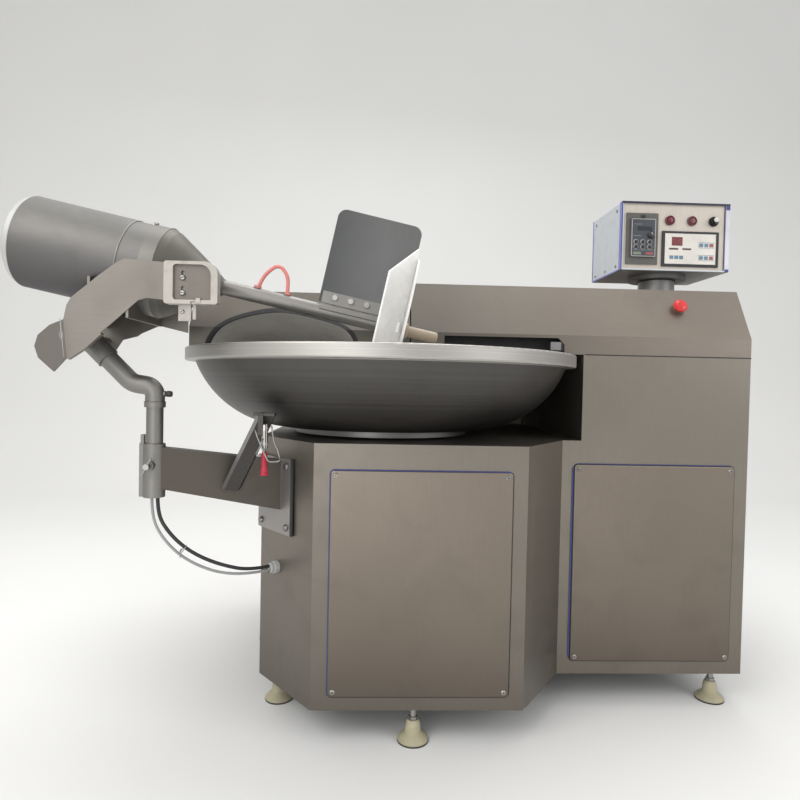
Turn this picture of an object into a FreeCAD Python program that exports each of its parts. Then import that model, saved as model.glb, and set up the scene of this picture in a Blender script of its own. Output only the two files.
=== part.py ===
import FreeCAD, Part
import math
import os

os.makedirs("parts", exist_ok=True)

V = FreeCAD.Vector

# All sizes are millimetres. X runs to the right, Y to the back and Z up from the floor.
# The plan origin is the bowl's own axis. The last section moves the whole machine so that
# the stored origin is the floor point under the middle of its outer box.

# Sheet, clearances and fasteners
sheet = 3.0                # stainless sheet of the housings
seat_gap = 0.3             # between curved faces that almost touch
run_fit = 0.05             # radial clearance of a shaft in its bore
screw_radius = 3.0
screw_head = 6.5
screw_height = 3.0

# Machine body
body_bottom = 95.0         # floor to the lower sheet edge
pedestal_top = 766.0
top_plate = 8.0
body_front = -149.0        # front face of the cabinet and of both covers
body_back = 700.0
body_left = -331.0
pedestal_front = -354.0
pedestal_front_left = -168.5
pedestal_front_right = 370.0
cabinet_left = 516.0       # cabinet wall beside the pedestal
cabinet_step = 570.0       # cabinet wall beside the bowl
cabinet_right = 1056.0
cabinet_top = 1011.0
rear_front = 592.0         # front wall of the housing behind the bowl

# Bowl
trough_centre_radius = 280.0
trough_radius = 271.0      # inner radius of the trough
bowl_wall = 8.0
bowl_lift = 24.0           # pedestal top to the bowl's underside
trough_centre_height = pedestal_top + bowl_lift + bowl_wall + trough_radius
rim_drop = 63.0            # trough centre to rim
rim_top = trough_centre_height - rim_drop
rim_width = 25.4           # flat of the rim beyond the trough's mouth
rim_height = 35.0
rim_round = 5.0
hub_radius = 52.0
hub_bore = 30.0
hub_depth = 30.0
turntable_radius = 256.0
turntable_lift = 7.0       # pedestal top to the turntable
turntable_bottom = pedestal_top + turntable_lift
turntable_plate = 12.0
turntable_step = 185.0
bowl_shaft_radius = 45.0
bowl_shaft_bottom = 470.0

# Bowl drive
bearing_outer = 68.0
bearing_height = 24.0
housing_radius = 84.0
housing_flange = 120.0
housing_flange_height = 14.0
housing_bottom = 600.0
gearbox_half = 105.0
gearbox_height = 170.0
bowl_motor_radius = 70.0
bowl_motor_length = 230.0

# Covers over the bowl
cover_lip = 1065.0         # top of the upright lip
slope_run = 84.0           # the slope leans back 84 for 148 of rise
slope_rise = 148.0
hood_top = 1213.0
lid_top = 1175.0
hood_left = 78.0
lid_right = 75.0
lid_left = -538.0
lid_back = 588.0
lid_back_fall = 60.0
hump_left = -150.0
hump_radius = 300.0
shaft_slot = 62.0
mouth_left = 172.0
mouth_right = 514.0
mouth_top = 1056.0
mouth_chamfer = 18.0
flap_back = 49.0           # flap behind the front face
flap_thick = 4.0
seal_width = 13.0
seal_proud = 5.0
hinge_y = 614.0
hinge_z = 1050.0
hinge_pin = 8.0
hinge_eye = 17.0
hinge_leaf = 40.0
hinge_lug = 10.0

# Knives and their shaft
shaft_y = 280.0
shaft_z = trough_centre_height
shaft_radius = 32.0
shaft_end = -66.0
blade_tip = 264.5
blade_hub = 58.0
blade_thick = 6.0
blade_gap = 11.0
blade_count = 6
blade_root = 50.0
spindle_radius = 50.0
spindle_left = 96.0
barrel_radius = 74.0
barrel_left = 600.0
barrel_right = 925.0
spindle_bearing = 44.0
stand_plate = 12.0
stand_top = shaft_z - barrel_radius - stand_plate - sheet

# Knife drive
motor_z = 335.0
motor_radius = 150.0
motor_left = 620.0
motor_right = 915.0
motor_shaft = 24.0
motor_pulley_radius = 112.0
shaft_pulley_radius = 92.0
pulley_left = 950.0
groove_pitch = 17.0
groove_count = 4
belt_width = 12.0
belt_height = 9.0
belt_slant = 2.0           # lean of each flank over the belt's height

# Floor frame and feet
rail_width = 60.0
rail_height = 50.0
rail_wall = 4.0
front_rail_y = -103.0
rear_rail_y = 640.0
left_rail_x = -281.0
middle_rail_x = 560.0
right_rail_x = 992.0
front_foot_x = 94.0
front_foot_y = -319.0
foot_radius = 40.0
foot_neck = 15.0
foot_height = 56.0
stem_radius = 8.0

# Service panels
panel_proud = 7.0
panel_margin = 24.0        # overlap of a panel on the wall round its hole
panel_round = 10.0         # corner radius of a panel
screw_inset = 13.0

# Unloader support
column_x = -558.0
column_y = -354.0
column_radius = 20.0
column_bottom = 656.0
column_top = 886.0
sleeve_radius = 26.0
sleeve_bottom = 628.0
sleeve_top = 758.0
beam_angle = 23.5
beam_width = 44.0
beam_wall = 4.0
bracket_thick = 10.0
bracket_bottom = 515.0
bracket_top = 716.0
bracket_start = 0.36       # share of the chamfer, from its front corner
elbow_radius = 23.0
elbow_collar = 26.5

# Unloader
pipe_drop = 12.0           # degrees that the pipe falls towards the bowl
disc_x = 52.0
disc_z = 1049.0
disc_radius = 176.0
disc_thick = 5.0
disc_left = -10.0          # along the pipe, face of the disc that meets the meat
nose_radius = 13.5
nose_length = 86.0
pipe_radius = 18.0
drive_radius = 11.5
cone_start = -457.0        # along the pipe from the disc
cone_end = -631.0
case_end = -681.0
motor_end = -922.0
dome_depth = 40.0
can_radius = 109.5
arm_front = -468.0
arm_back = -240.0
arm_sheet = 4.0
tilt_x = -720.0
tilt_z = 1013.0
tilt_pin = 9.0
tilt_eye = 23.0
box_front = -491.0
box_left = -495.0
box_right = -376.0
box_bottom = 1086.0
box_top = 1181.0
box_depth_front = 26.0     # depth of the tray at the front of the mounting box
baffle_thick = 4.0

# Control box
panel_x = 876.5
box_width = 331.0
box_face = -40.0
box_depth = 250.0
post_height = 62.0
box_height = 206.0
box_base = hood_top + post_height
box_lid = box_base + box_height
post_y = 85.0
post_radius = 55.0
flange_radius = 86.0
estop_x = 863.0
estop_up = 102.0           # along the slope from the lip


def corners(points, place):
    ring = [place(a, b) for a, b in points]
    return Part.Face(Part.makePolygon(ring + ring[:1]))


def plan(points, low, high):
    """Prism whose outline is seen from above."""
    face = corners(points, lambda x, y: V(x, y, low))
    return face.extrude(V(0, 0, high - low))


def front(points, near, far):
    """Prism whose outline is seen from the front."""
    face = corners(points, lambda x, z: V(x, near, z))
    return face.extrude(V(0, far - near, 0))


def side(points, left, right):
    """Prism whose outline is seen from the side."""
    face = corners(points, lambda y, z: V(left, y, z))
    return face.extrude(V(right - left, 0, 0))


def block(left, right, near, far, low, high):
    return Part.makeBox(right - left, far - near, high - low, V(left, near, low))


def rod(radius, start, end):
    axis = end - start
    return Part.makeCylinder(radius, axis.Length, start, axis)


def ring(outer, inner, start, end):
    return rod(outer, start, end).cut(rod(inner, start, end))


def turned(points, axis_point, axis):
    """Solid of revolution; the points are radius and distance along the axis."""
    rings = Part.Face(Part.makePolygon([V(r, 0, h) for r, h in points + points[:1]]))
    solid = rings.revolve(V(0, 0, 0), V(0, 0, 1), 360)
    solid.Placement = FreeCAD.Placement(axis_point, FreeCAD.Rotation(V(0, 0, 1), axis))
    return solid


def inset(points, depth):
    """Corner points of an outline drawn in by a wall thickness."""
    loop = Part.makePolygon([V(a, b, 0) for a, b in points + points[:1]])
    inner = loop.makeOffset2D(-depth, 2)
    return [(v.X, v.Y) for v in inner.OrderedVertexes]


def belt_path(low_z, low_radius, high_z, high_radius, x, y):
    """Closed line round two circles above each other, its start and the outward side there."""
    lean = math.asin((low_radius - high_radius) / (high_z - low_z))
    points = []
    for sign in (-1, 1):
        for z, radius in ((low_z, low_radius), (high_z, high_radius)):
            points.append(V(x, y + sign * radius * math.cos(lean), z + radius * math.sin(lean)))
    left_low, left_high, right_low, right_high = points
    edges = [
        Part.LineSegment(left_low, left_high).toShape(),
        Part.Arc(left_high, V(x, y, high_z + high_radius), right_high).toShape(),
        Part.LineSegment(right_high, right_low).toShape(),
        Part.Arc(right_low, V(x, y, low_z - low_radius), left_low).toShape(),
    ]
    return Part.Wire(edges), left_low, V(0, -math.cos(lean), math.sin(lean))


def bend_radii(points, share=0.45, limit=None):
    """Radius of the arc at each inner point of a route."""
    radii = []
    for before, here, after in zip(points, points[1:], points[2:]):
        half = (here - before).getAngle(after - here) / 2
        radius = share * min((here - before).Length, (after - here).Length) / math.tan(half)
        radii.append(min(radius, limit) if limit else radius)
    return radii


def route(points, radii):
    """Wire of straight runs joined by tangent arcs."""
    edges = []
    start = points[0]
    for before, here, after, radius in zip(points, points[1:], points[2:], radii):
        into = (here - before).normalize()
        out = (after - here).normalize()
        half = into.getAngle(out) / 2
        cut = radius * math.tan(half)
        first = here - into * cut
        last = here + out * cut
        bisector = (out - into).normalize()
        middle = here + bisector * (radius / math.cos(half) - radius)
        edges.append(Part.LineSegment(start, first).toShape())
        edges.append(Part.Arc(first, middle, last).toShape())
        start = last
    edges.append(Part.LineSegment(start, points[-1]).toShape())
    return Part.Wire(edges)


def tube(points, radii, radius):
    """Round bar along a route."""
    path = route(points, radii)
    start = Part.Wire(Part.Circle(points[0], points[1] - points[0], radius).toShape())
    return path.makePipeShell([start], True, False)


def screw(point, outward, radius=screw_radius, head=screw_head, height=screw_height, grip=12.0):
    """Domed screw whose head rests at the point."""
    profile = [(0, -grip), (radius, -grip), (radius, 0), (head, 0)]
    profile += [(head, height * 0.45), (head * 0.72, height), (0, height)]
    return turned(profile, point, outward)


def slope_height(y):
    """Height of the covers' sloping face at a depth."""
    return cover_lip + (y - body_front) * slope_rise / slope_run


def slope_depth(z):
    return body_front + (z - cover_lip) * slope_run / slope_rise


def union(shapes):
    whole = shapes[0]
    for shape in shapes[1:]:
        whole = whole.fuse(shape)
    return whole.removeSplitter()


parts = {}

# Body outlines
pedestal_outline = [
    (body_left, body_front),
    (pedestal_front_left, pedestal_front),
    (pedestal_front_right, pedestal_front),
    (cabinet_left, body_front),
    (cabinet_left, body_back),
    (body_left, body_back),
]
cabinet_outline = [
    (cabinet_left, body_bottom),
    (cabinet_right, body_bottom),
    (cabinet_right, cabinet_top),
    (cabinet_step, cabinet_top),
    (cabinet_step, pedestal_top),
    (cabinet_left, pedestal_top),
]
chamfer_front = V(pedestal_front_left, pedestal_front, 0)
chamfer_back = V(body_left, body_front, 0)
chamfer_along = (chamfer_back - chamfer_front).normalize()
chamfer_out = V(0, 0, 1).cross(chamfer_along) * -1
if chamfer_out.x > 0:
    chamfer_out = chamfer_out * -1


def on_chamfer(share, height, out=0.0):
    """Point on the left front chamfer of the pedestal."""
    foot = chamfer_front + (chamfer_back - chamfer_front) * share + chamfer_out * out
    return V(foot.x, foot.y, height)


# Service panels: each is a tray with a hole in the wall behind it
front_panel_box = (-126.0, 331.0, 131.0, 700.0)
cabinet_panel_box = (551.0, 1016.0, 134.0, 698.0)
right_panel_box = (-110.0, 560.0, 152.0, 720.0)
left_panel_box = (-106.0, 540.0, 158.0, 575.0)


def panel(box, face, across, outward):
    """Shallow tray panel with rounded edges, standing proud of a wall."""
    low_a, high_a, low_z, high_z = box
    start = across * low_a + face + V(0, 0, low_z)
    size_a = high_a - low_a
    size_z = high_z - low_z
    ring_points = [start, start + across * size_a, start + across * size_a + V(0, 0, size_z),
                   start + V(0, 0, size_z), start]
    solid = Part.Face(Part.makePolygon(ring_points)).extrude(outward * panel_proud)
    corner_edges = [e for e in solid.Edges if abs(e.Length - panel_proud) < 0.01]
    solid = solid.makeFillet(panel_round, corner_edges)
    outer = [e for e in solid.Edges if abs((e.CenterOfMass - face).dot(outward) - panel_proud) < 0.01]
    solid = solid.makeFillet(panel_proud * 0.45, outer)
    for corner in panel_screws(box, face, across):
        solid = solid.cut(rod(screw_radius + seat_gap, corner - outward, corner + outward * 20))
    return solid


def panel_screws(box, face, across):
    low_a, high_a, low_z, high_z = box
    spots = []
    for a in (low_a + screw_inset, high_a - screw_inset):
        for z in (low_z + screw_inset, high_z - screw_inset):
            spots.append(across * a + face + V(0, 0, z))
    return spots


def panel_cutter(box, face, across, outward):
    """Hole in the wall behind a panel, with its screw holes."""
    low_a, high_a, low_z, high_z = box
    start = across * (low_a + panel_margin) + face - outward * sheet * 2 + V(0, 0, low_z + panel_margin)
    size_a = high_a - low_a - 2 * panel_margin
    size_z = high_z - low_z - 2 * panel_margin
    ring_points = [start, start + across * size_a, start + across * size_a + V(0, 0, size_z),
                   start + V(0, 0, size_z), start]
    cutter = Part.Face(Part.makePolygon(ring_points)).extrude(outward * sheet * 3)
    holes = [rod(screw_radius + seat_gap, spot - outward * 12, spot + outward * 2)
             for spot in panel_screws(box, face, across)]
    return cutter.fuse(holes)


panel_sites = {
    "front_panel": (front_panel_box, V(0, pedestal_front, 0), V(1, 0, 0), V(0, -1, 0)),
    "cabinet_panel": (cabinet_panel_box, V(0, body_front, 0), V(1, 0, 0), V(0, -1, 0)),
    "right_panel": (right_panel_box, V(cabinet_right, 0, 0), V(0, 1, 0), V(1, 0, 0)),
    "left_panel": (left_panel_box, V(body_left, 0, 0), V(0, 1, 0), V(-1, 0, 0)),
}
for name, site in panel_sites.items():
    parts[name] = panel(*site)
parts["side_panels"] = Part.makeCompound([parts.pop("right_panel"), parts.pop("left_panel")])


# Floor frame of inverted channels, with the motor plate and spindle stand welded on
def rail(left, right, near, far):
    low, high = body_bottom, body_bottom + rail_height
    outer = block(left, right, near, far, low, high)
    along_x = right - left > far - near
    trim_x = rail_wall * (0 if along_x else 1)
    trim_y = rail_wall * (1 if along_x else 0)
    inner = block(left + trim_x, right - trim_x, near + trim_y, far - trim_y, low - 1, high - rail_wall)
    return outer, inner


half_rail = rail_width / 2
inner_left = body_left + sheet
inner_right = cabinet_right - sheet
rails = [
    rail(inner_left, inner_right, front_rail_y - half_rail, front_rail_y + half_rail),
    rail(inner_left, inner_right, rear_rail_y - half_rail, rear_rail_y + half_rail),
    rail(front_foot_x - half_rail, front_foot_x + half_rail,
         pedestal_front + sheet, front_rail_y - half_rail + rail_wall),
]
for x in (left_rail_x, middle_rail_x, right_rail_x):
    rails.append(rail(x - half_rail, x + half_rail, front_rail_y, rear_rail_y))
frame = union([outer for outer, inner in rails])
for outer, inner in rails:
    frame = frame.cut(inner)
rail_top = body_bottom + rail_height
plate_top = rail_top + stand_plate
stand_near = shaft_y - motor_radius - 35
stand_far = shaft_y + motor_radius + 35
motor_plate = block(middle_rail_x - half_rail, right_rail_x + half_rail,
                    stand_near - 15, stand_far + 15, rail_top, plate_top)
stand_walls = [
    block(barrel_left - 5, barrel_right + 5, y, y + stand_plate, plate_top, stand_top)
    for y in (stand_near, stand_far - stand_plate)
]
stand_cap = block(barrel_left - 5, barrel_right + 5, stand_near, stand_far,
                  stand_top, stand_top + stand_plate)
foot_spots = [
    (front_foot_x, front_foot_y),
    (left_rail_x, front_rail_y),
    (right_rail_x, front_rail_y),
    (left_rail_x, rear_rail_y),
    (right_rail_x, rear_rail_y),
]
frame = union([frame, motor_plate] + stand_walls + [stand_cap])
for x, y in foot_spots:
    frame = frame.cut(rod(stem_radius + run_fit, V(x, y, body_bottom), V(x, y, rail_top + 20)))
parts["base_frame"] = frame

pads = []
stems = []
nut_low = foot_height + 8
for x, y in foot_spots:
    bell = [(0, 0), (foot_radius, 0), (foot_radius, 7), (foot_radius * 0.86, 13),
            (foot_radius * 0.52, 24), (foot_neck + 4, 44), (foot_neck, foot_height), (0, foot_height)]
    pad = turned(bell, V(x, y, 0), V(0, 0, 1))
    socket = rod(stem_radius + run_fit, V(x, y, foot_height - 20), V(x, y, foot_height + 1))
    pads.append(pad.cut(socket))
    stem = rod(stem_radius, V(x, y, foot_height - 20), V(x, y, rail_top + 12))
    nut_points = [(x + 13 * math.cos(math.radians(60 * i)), y + 13 * math.sin(math.radians(60 * i)))
                  for i in range(6)]
    lock_nut = plan(nut_points, rail_top - rail_wall - 10, rail_top - rail_wall)
    lower_nut = plan(nut_points, foot_height, nut_low)
    stems.append(union([stem, lock_nut, lower_nut]))
parts["foot_pads"] = Part.makeCompound(pads)
parts["foot_stems"] = Part.makeCompound(stems)

# Housings: pedestal with its top plate, the rear housing and the drive cabinet
pedestal = plan(pedestal_outline, body_bottom, pedestal_top)
pedestal = pedestal.cut(plan(inset(pedestal_outline, sheet), body_bottom - 1, pedestal_top - top_plate))
pedestal = pedestal.cut(rod(housing_radius + seat_gap, V(0, 0, pedestal_top - 20), V(0, 0, pedestal_top + 1)))
for key in ("front_panel", "left_panel"):
    pedestal = pedestal.cut(panel_cutter(*panel_sites[key]))
cabinet = front(cabinet_outline, body_front, body_back)
cabinet_inner = inset(cabinet_outline, sheet)
cabinet = cabinet.cut(front(cabinet_inner, body_front + sheet, body_back - sheet))
cabinet = cabinet.cut(block(cabinet_left + sheet, inner_right, body_front + sheet, body_back - sheet,
                            body_bottom - 1, body_bottom + 2 * sheet))
cabinet = cabinet.cut(block(cabinet_step + sheet, inner_right, body_front + sheet, body_back - sheet,
                            cabinet_top - 2 * sheet, cabinet_top + 1))
for name in ("cabinet_panel", "right_panel"):
    cabinet = cabinet.cut(panel_cutter(*panel_sites[name]))
for y in (front_rail_y, rear_rail_y):
    notch = block(cabinet_left - 2 * sheet, cabinet_left + 2 * sheet, y - half_rail, y + half_rail,
                  body_bottom - 1, rail_top)
    pedestal = pedestal.cut(notch)
    cabinet = cabinet.cut(notch)
rear_outer = block(body_left, cabinet_step, rear_front, body_back, pedestal_top, cabinet_top)
rear_inner = block(body_left + sheet, cabinet_step - sheet, rear_front + sheet, body_back - sheet,
                   pedestal_top - 1, cabinet_top - sheet)
parts["rear_housing"] = rear_outer.cut(rear_inner)

# Bowl: a trough of one arc round the hub, with a rolled rim
bowl_outer_radius = trough_radius + bowl_wall


def trough_height(radius, arc):
    """Height of a trough arc at a distance from the bowl's axis."""
    return trough_centre_height - math.sqrt(arc ** 2 - (radius - trough_centre_radius) ** 2)


def trough_reach(height, arc):
    return trough_centre_radius + math.sqrt(arc ** 2 - (trough_centre_height - height) ** 2)


def trough_arc(start, end, arc):
    """Edge along the trough circle from one radius and height to another, through the bottom."""
    bottom = V(trough_centre_radius, 0, trough_centre_height - arc)
    return Part.Arc(start, bottom, end).toShape()


def line(start, end):
    return Part.LineSegment(start, end).toShape()


rim_low = rim_top - rim_height
inner_top = V(trough_reach(rim_top, trough_radius), 0, rim_top)
rim_radius = inner_top.x + rim_width
outer_top = V(trough_reach(rim_low, bowl_outer_radius), 0, rim_low)
hub_inner = V(hub_radius, 0, trough_height(hub_radius, trough_radius))
hub_outer = V(hub_radius, 0, trough_height(hub_radius, bowl_outer_radius))
quarter = rim_round * (1 - math.sqrt(0.5))
rim_a = V(rim_radius - rim_round, 0, rim_top)
rim_b = V(rim_radius, 0, rim_top - rim_round)
rim_c = V(rim_radius, 0, rim_low + rim_round)
rim_d = V(rim_radius - rim_round, 0, rim_low)
hub_top_z = hub_inner.z
hub_under = hub_top_z - hub_depth
bowl_edges = [
    trough_arc(hub_inner, inner_top, trough_radius),
    line(inner_top, rim_a),
    Part.Arc(rim_a, V(rim_radius - quarter, 0, rim_top - quarter), rim_b).toShape(),
    line(rim_b, rim_c),
    Part.Arc(rim_c, V(rim_radius - quarter, 0, rim_low + quarter), rim_d).toShape(),
    line(rim_d, outer_top),
    trough_arc(outer_top, hub_outer, bowl_outer_radius),
    line(hub_outer, V(hub_radius, 0, hub_under)),
    line(V(hub_radius, 0, hub_under), V(hub_bore, 0, hub_under)),
    line(V(hub_bore, 0, hub_under), V(hub_bore, 0, hub_top_z)),
    line(V(hub_bore, 0, hub_top_z), hub_inner),
]
parts["bowl"] = Part.Face(Part.Wire(bowl_edges)).revolve(V(0, 0, 0), V(0, 0, 1), 360)

cap_radius = hub_bore + 9
cap_profile = [(0, 0), (cap_radius, 0), (cap_radius, 7), (cap_radius - 5, 12), (17, 14), (13, 26), (0, 28)]
parts["hub_cap"] = turned(cap_profile, V(0, 0, hub_top_z), V(0, 0, 1))

turntable_mid = (turntable_radius + turntable_step) / 2
ring_edges = [
    line(V(bowl_shaft_radius, 0, turntable_bottom), V(turntable_radius, 0, turntable_bottom)),
    line(V(turntable_radius, 0, turntable_bottom),
         V(turntable_radius, 0, trough_height(turntable_radius, bowl_outer_radius))),
    Part.Arc(V(turntable_radius, 0, trough_height(turntable_radius, bowl_outer_radius)),
             V(turntable_mid, 0, trough_height(turntable_mid, bowl_outer_radius)),
             V(turntable_step, 0, trough_height(turntable_step, bowl_outer_radius))).toShape(),
    line(V(turntable_step, 0, trough_height(turntable_step, bowl_outer_radius)),
         V(turntable_step, 0, turntable_bottom + turntable_plate)),
    line(V(turntable_step, 0, turntable_bottom + turntable_plate),
         V(bowl_shaft_radius, 0, turntable_bottom + turntable_plate)),
    line(V(bowl_shaft_radius, 0, turntable_bottom + turntable_plate),
         V(bowl_shaft_radius, 0, turntable_bottom)),
]
turntable = Part.Face(Part.Wire(ring_edges)).revolve(V(0, 0, 0), V(0, 0, 1), 360)

# Bowl drive: shaft, two bearings, their housing and a worm gearmotor hung under it
spigot = hub_bore - run_fit
shaft_profile = [(0, bowl_shaft_bottom), (bowl_shaft_radius, bowl_shaft_bottom),
                 (bowl_shaft_radius, hub_under), (spigot, hub_under), (spigot, hub_top_z), (0, hub_top_z)]
parts["turntable"] = union([turned(shaft_profile, V(0, 0, 0), V(0, 0, 1)), turntable])
flange_top = pedestal_top - top_plate
flange_low = flange_top - housing_flange_height
bore = bearing_outer + seat_gap
shoulder = bearing_outer - 9
housing_top = turntable_bottom - 2
low_seat = housing_bottom + bearing_height
high_seat = housing_top - bearing_height
housing_profile = [
    (bore, housing_bottom), (housing_radius, housing_bottom), (housing_radius, flange_low),
    (housing_flange, flange_low), (housing_flange, flange_top), (housing_radius, flange_top),
    (housing_radius, housing_top), (bore, housing_top), (bore, high_seat), (shoulder, high_seat),
    (shoulder, low_seat), (bore, low_seat),
]
parts["bearing_housing"] = turned(housing_profile, V(0, 0, 0), V(0, 0, 1))


def bearing(point, axis, outer, inner, height):
    """Closed ball bearing with grooved faces."""
    middle = (outer + inner) / 2
    groove = (outer - inner) * 0.12
    profile = [(inner, 0), (middle - groove, 0), (middle - groove, 2), (middle + groove, 2),
               (middle + groove, 0), (outer, 0), (outer, height), (middle + groove, height),
               (middle + groove, height - 2), (middle - groove, height - 2),
               (middle - groove, height), (inner, height)]
    return turned(profile, point, axis)


bowl_bearings = [
    bearing(V(0, 0, z), V(0, 0, 1), bearing_outer, bowl_shaft_radius + run_fit, bearing_height)
    for z in (housing_bottom, high_seat)
]
gearbox_low = housing_bottom - gearbox_height
half = gearbox_half
gear_case = block(-half, half, -half, half, gearbox_low, housing_bottom)
gear_case = gear_case.makeFillet(14, [e for e in gear_case.Edges if e.Length < gearbox_height + 1])
gear_case = gear_case.cut(rod(bowl_shaft_radius + run_fit, V(0, 0, bowl_shaft_bottom - 1),
                              V(0, 0, housing_bottom + 1)))
motor_axis = gearbox_low + gearbox_height * 0.45
flange_ring = rod(bowl_motor_radius + 18, V(half, 0, motor_axis), V(half + 14, 0, motor_axis))
gearbox = union([gear_case, flange_ring])


def finned_motor(left, right, y, z, radius, fins):
    """Motor barrel with cooling fins and a fan cowl at its left end."""
    barrel = rod(radius * 0.88, V(left, y, z), V(right, y, z))
    cowl = rod(radius, V(left, y, z), V(left + (right - left) * 0.18, y, z))
    end_bell = rod(radius * 0.97, V(right - 18, y, z), V(right, y, z))
    ribs = []
    for i in range(fins):
        rib = block(left + (right - left) * 0.16, right - 16, y - 1.6, y + 1.6,
                    z + radius * 0.84, z + radius * 0.98)
        rib.rotate(V(left, y, z), V(1, 0, 0), 360.0 / fins * (i + 0.5))
        ribs.append(rib)
    return union([barrel, cowl, end_bell] + ribs)


small_motor = finned_motor(-bowl_motor_length, 0, 0, 0, bowl_motor_radius, 16)
small_motor.rotate(V(0, 0, 0), V(0, 0, 1), 180)
small_motor.translate(V(half + 14, 0, motor_axis))
parts["bowl_gearmotor"] = Part.makeCompound([gearbox, small_motor])

# Knife drive: motor on the plate, grooved pulleys, belts, and the spindle above
motor_body = finned_motor(motor_left, motor_right, shaft_y, motor_z, motor_radius, 20)
motor_foot = block(motor_left + 60, motor_right - 40, shaft_y - 95, shaft_y + 95, plate_top, motor_z - 100)
terminal_box = block(motor_left + 110, motor_left + 220, shaft_y - 50, shaft_y + 50,
                     motor_z + motor_radius * 0.8, motor_z + motor_radius + 45)
motor_body = union([motor_body, motor_foot, terminal_box])
motor_bore = rod(motor_shaft + run_fit, V(motor_right - 60, shaft_y, motor_z),
                 V(motor_right + 1, shaft_y, motor_z))
parts["knife_motor"] = motor_body.cut(motor_bore)
pulley_width = groove_pitch * groove_count + 8


def grooved_pulley(radius, bore_radius, z):
    """Pulley with V grooves, turned about the X direction."""
    profile = [(bore_radius, 0), (radius, 0)]
    for i in range(groove_count):
        start = 4 + groove_pitch * i + (groove_pitch - belt_width) / 2 - seat_gap
        stop = start + belt_width + 2 * seat_gap
        floor_radius = radius - belt_height
        profile += [(radius, start), (floor_radius, start + belt_slant),
                    (floor_radius, stop - belt_slant), (radius, stop)]
    profile += [(radius, pulley_width), (bore_radius, pulley_width)]
    return turned(profile, V(pulley_left, shaft_y, z), V(1, 0, 0))


stub = rod(motor_shaft, V(motor_right - 59, shaft_y, motor_z),
           V(pulley_left + pulley_width, shaft_y, motor_z))
parts["motor_pulley"] = union([grooved_pulley(motor_pulley_radius, motor_shaft, motor_z), stub])
parts["shaft_pulley"] = grooved_pulley(shaft_pulley_radius, shaft_radius + run_fit, shaft_z)
belts = []
for i in range(groove_count):
    x = pulley_left + 4 + groove_pitch * i + (groove_pitch - belt_width) / 2
    inner_low = motor_pulley_radius - belt_height + seat_gap
    inner_high = shaft_pulley_radius - belt_height + seat_gap
    path, start, outward = belt_path(motor_z, inner_low, shaft_z, inner_high, x, shaft_y)
    across = V(1, 0, 0)
    profile = [start + across * belt_slant, start + across * (belt_width - belt_slant),
               start + across * belt_width + outward * belt_height, start + outward * belt_height]
    loop = path.makePipeShell([Part.makePolygon(profile + profile[:1])], True, False)
    belts.append(loop)
parts["v_belts"] = Part.makeCompound(belts)

bearing_bore = barrel_radius - 14
spindle_profile = [
    (shaft_radius + 4, spindle_left), (spindle_radius, spindle_left), (spindle_radius, barrel_left - 1),
    (barrel_radius, barrel_left + 12), (barrel_radius, barrel_right), (bearing_bore, barrel_right),
    (bearing_bore, barrel_right - spindle_bearing), (shaft_radius + 4, barrel_right - spindle_bearing),
]
spindle = turned(spindle_profile, V(0, shaft_y, shaft_z), V(1, 0, 0))
saddle = block(barrel_left + 12, barrel_right, shaft_y - 85, shaft_y + 85, stand_top + stand_plate, shaft_z)
saddle = saddle.cut(rod(barrel_radius - 1, V(barrel_left, shaft_y, shaft_z),
                        V(barrel_right + 1, shaft_y, shaft_z)))
nose_seat = rod(spindle_radius - 8, V(spindle_left - 1, shaft_y, shaft_z),
                V(spindle_left + 24, shaft_y, shaft_z))
parts["spindle_housing"] = union([spindle, saddle]).cut(nose_seat)
spindle_bearings = [
    bearing(V(spindle_left, shaft_y, shaft_z), V(1, 0, 0),
            spindle_radius - 8 - run_fit, shaft_radius + run_fit, 22),
    bearing(V(barrel_right - spindle_bearing, shaft_y, shaft_z), V(1, 0, 0),
            bearing_bore - run_fit, shaft_radius + run_fit, spindle_bearing),
]
parts["bearings"] = Part.makeCompound(bowl_bearings + spindle_bearings)
shaft_right = pulley_left + pulley_width + 6
parts["knife_shaft"] = rod(shaft_radius, V(shaft_end, shaft_y, shaft_z), V(shaft_right, shaft_y, shaft_z))


# Knives: a hub ring with a sickle arm whose outer edge is ground to a bevel
def sickle(x):
    """One knife, its hub centred on the shaft and its tip on the cutting circle."""
    def at(radius, degrees):
        angle = math.radians(degrees)
        return V(x, radius * math.cos(angle), radius * math.sin(angle))

    back = Part.Arc(at(blade_root, 62), at(blade_tip * 0.60, 52), at(blade_tip - 2, 74)).toShape()
    tip = Part.Arc(at(blade_tip - 2, 74), at(blade_tip, 66), at(blade_tip - 3, 58)).toShape()
    edge = Part.Arc(at(blade_tip - 3, 58), at(blade_tip * 0.66, 21), at(blade_root, -32)).toShape()
    root = line(at(blade_root, -32), at(blade_root, 62))
    arm = Part.Face(Part.Wire([back, tip, edge, root])).extrude(V(blade_thick, 0, 0))
    bevel_edges = [e for e in arm.Edges
                   if e.Length > blade_tip * 0.7 and abs(e.CenterOfMass.x - x) < 0.01
                   and e.CenterOfMass.y > e.CenterOfMass.z]
    if bevel_edges:
        arm = arm.makeChamfer(blade_thick * 0.7, blade_thick * 2, bevel_edges)
    hub = rod(blade_hub, V(x, 0, 0), V(x + blade_thick, 0, 0))
    bore_cut = rod(shaft_radius + run_fit, V(x - 1, 0, 0), V(x + blade_thick + 1, 0, 0))
    return arm.fuse(hub).removeSplitter().cut(bore_cut)


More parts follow.
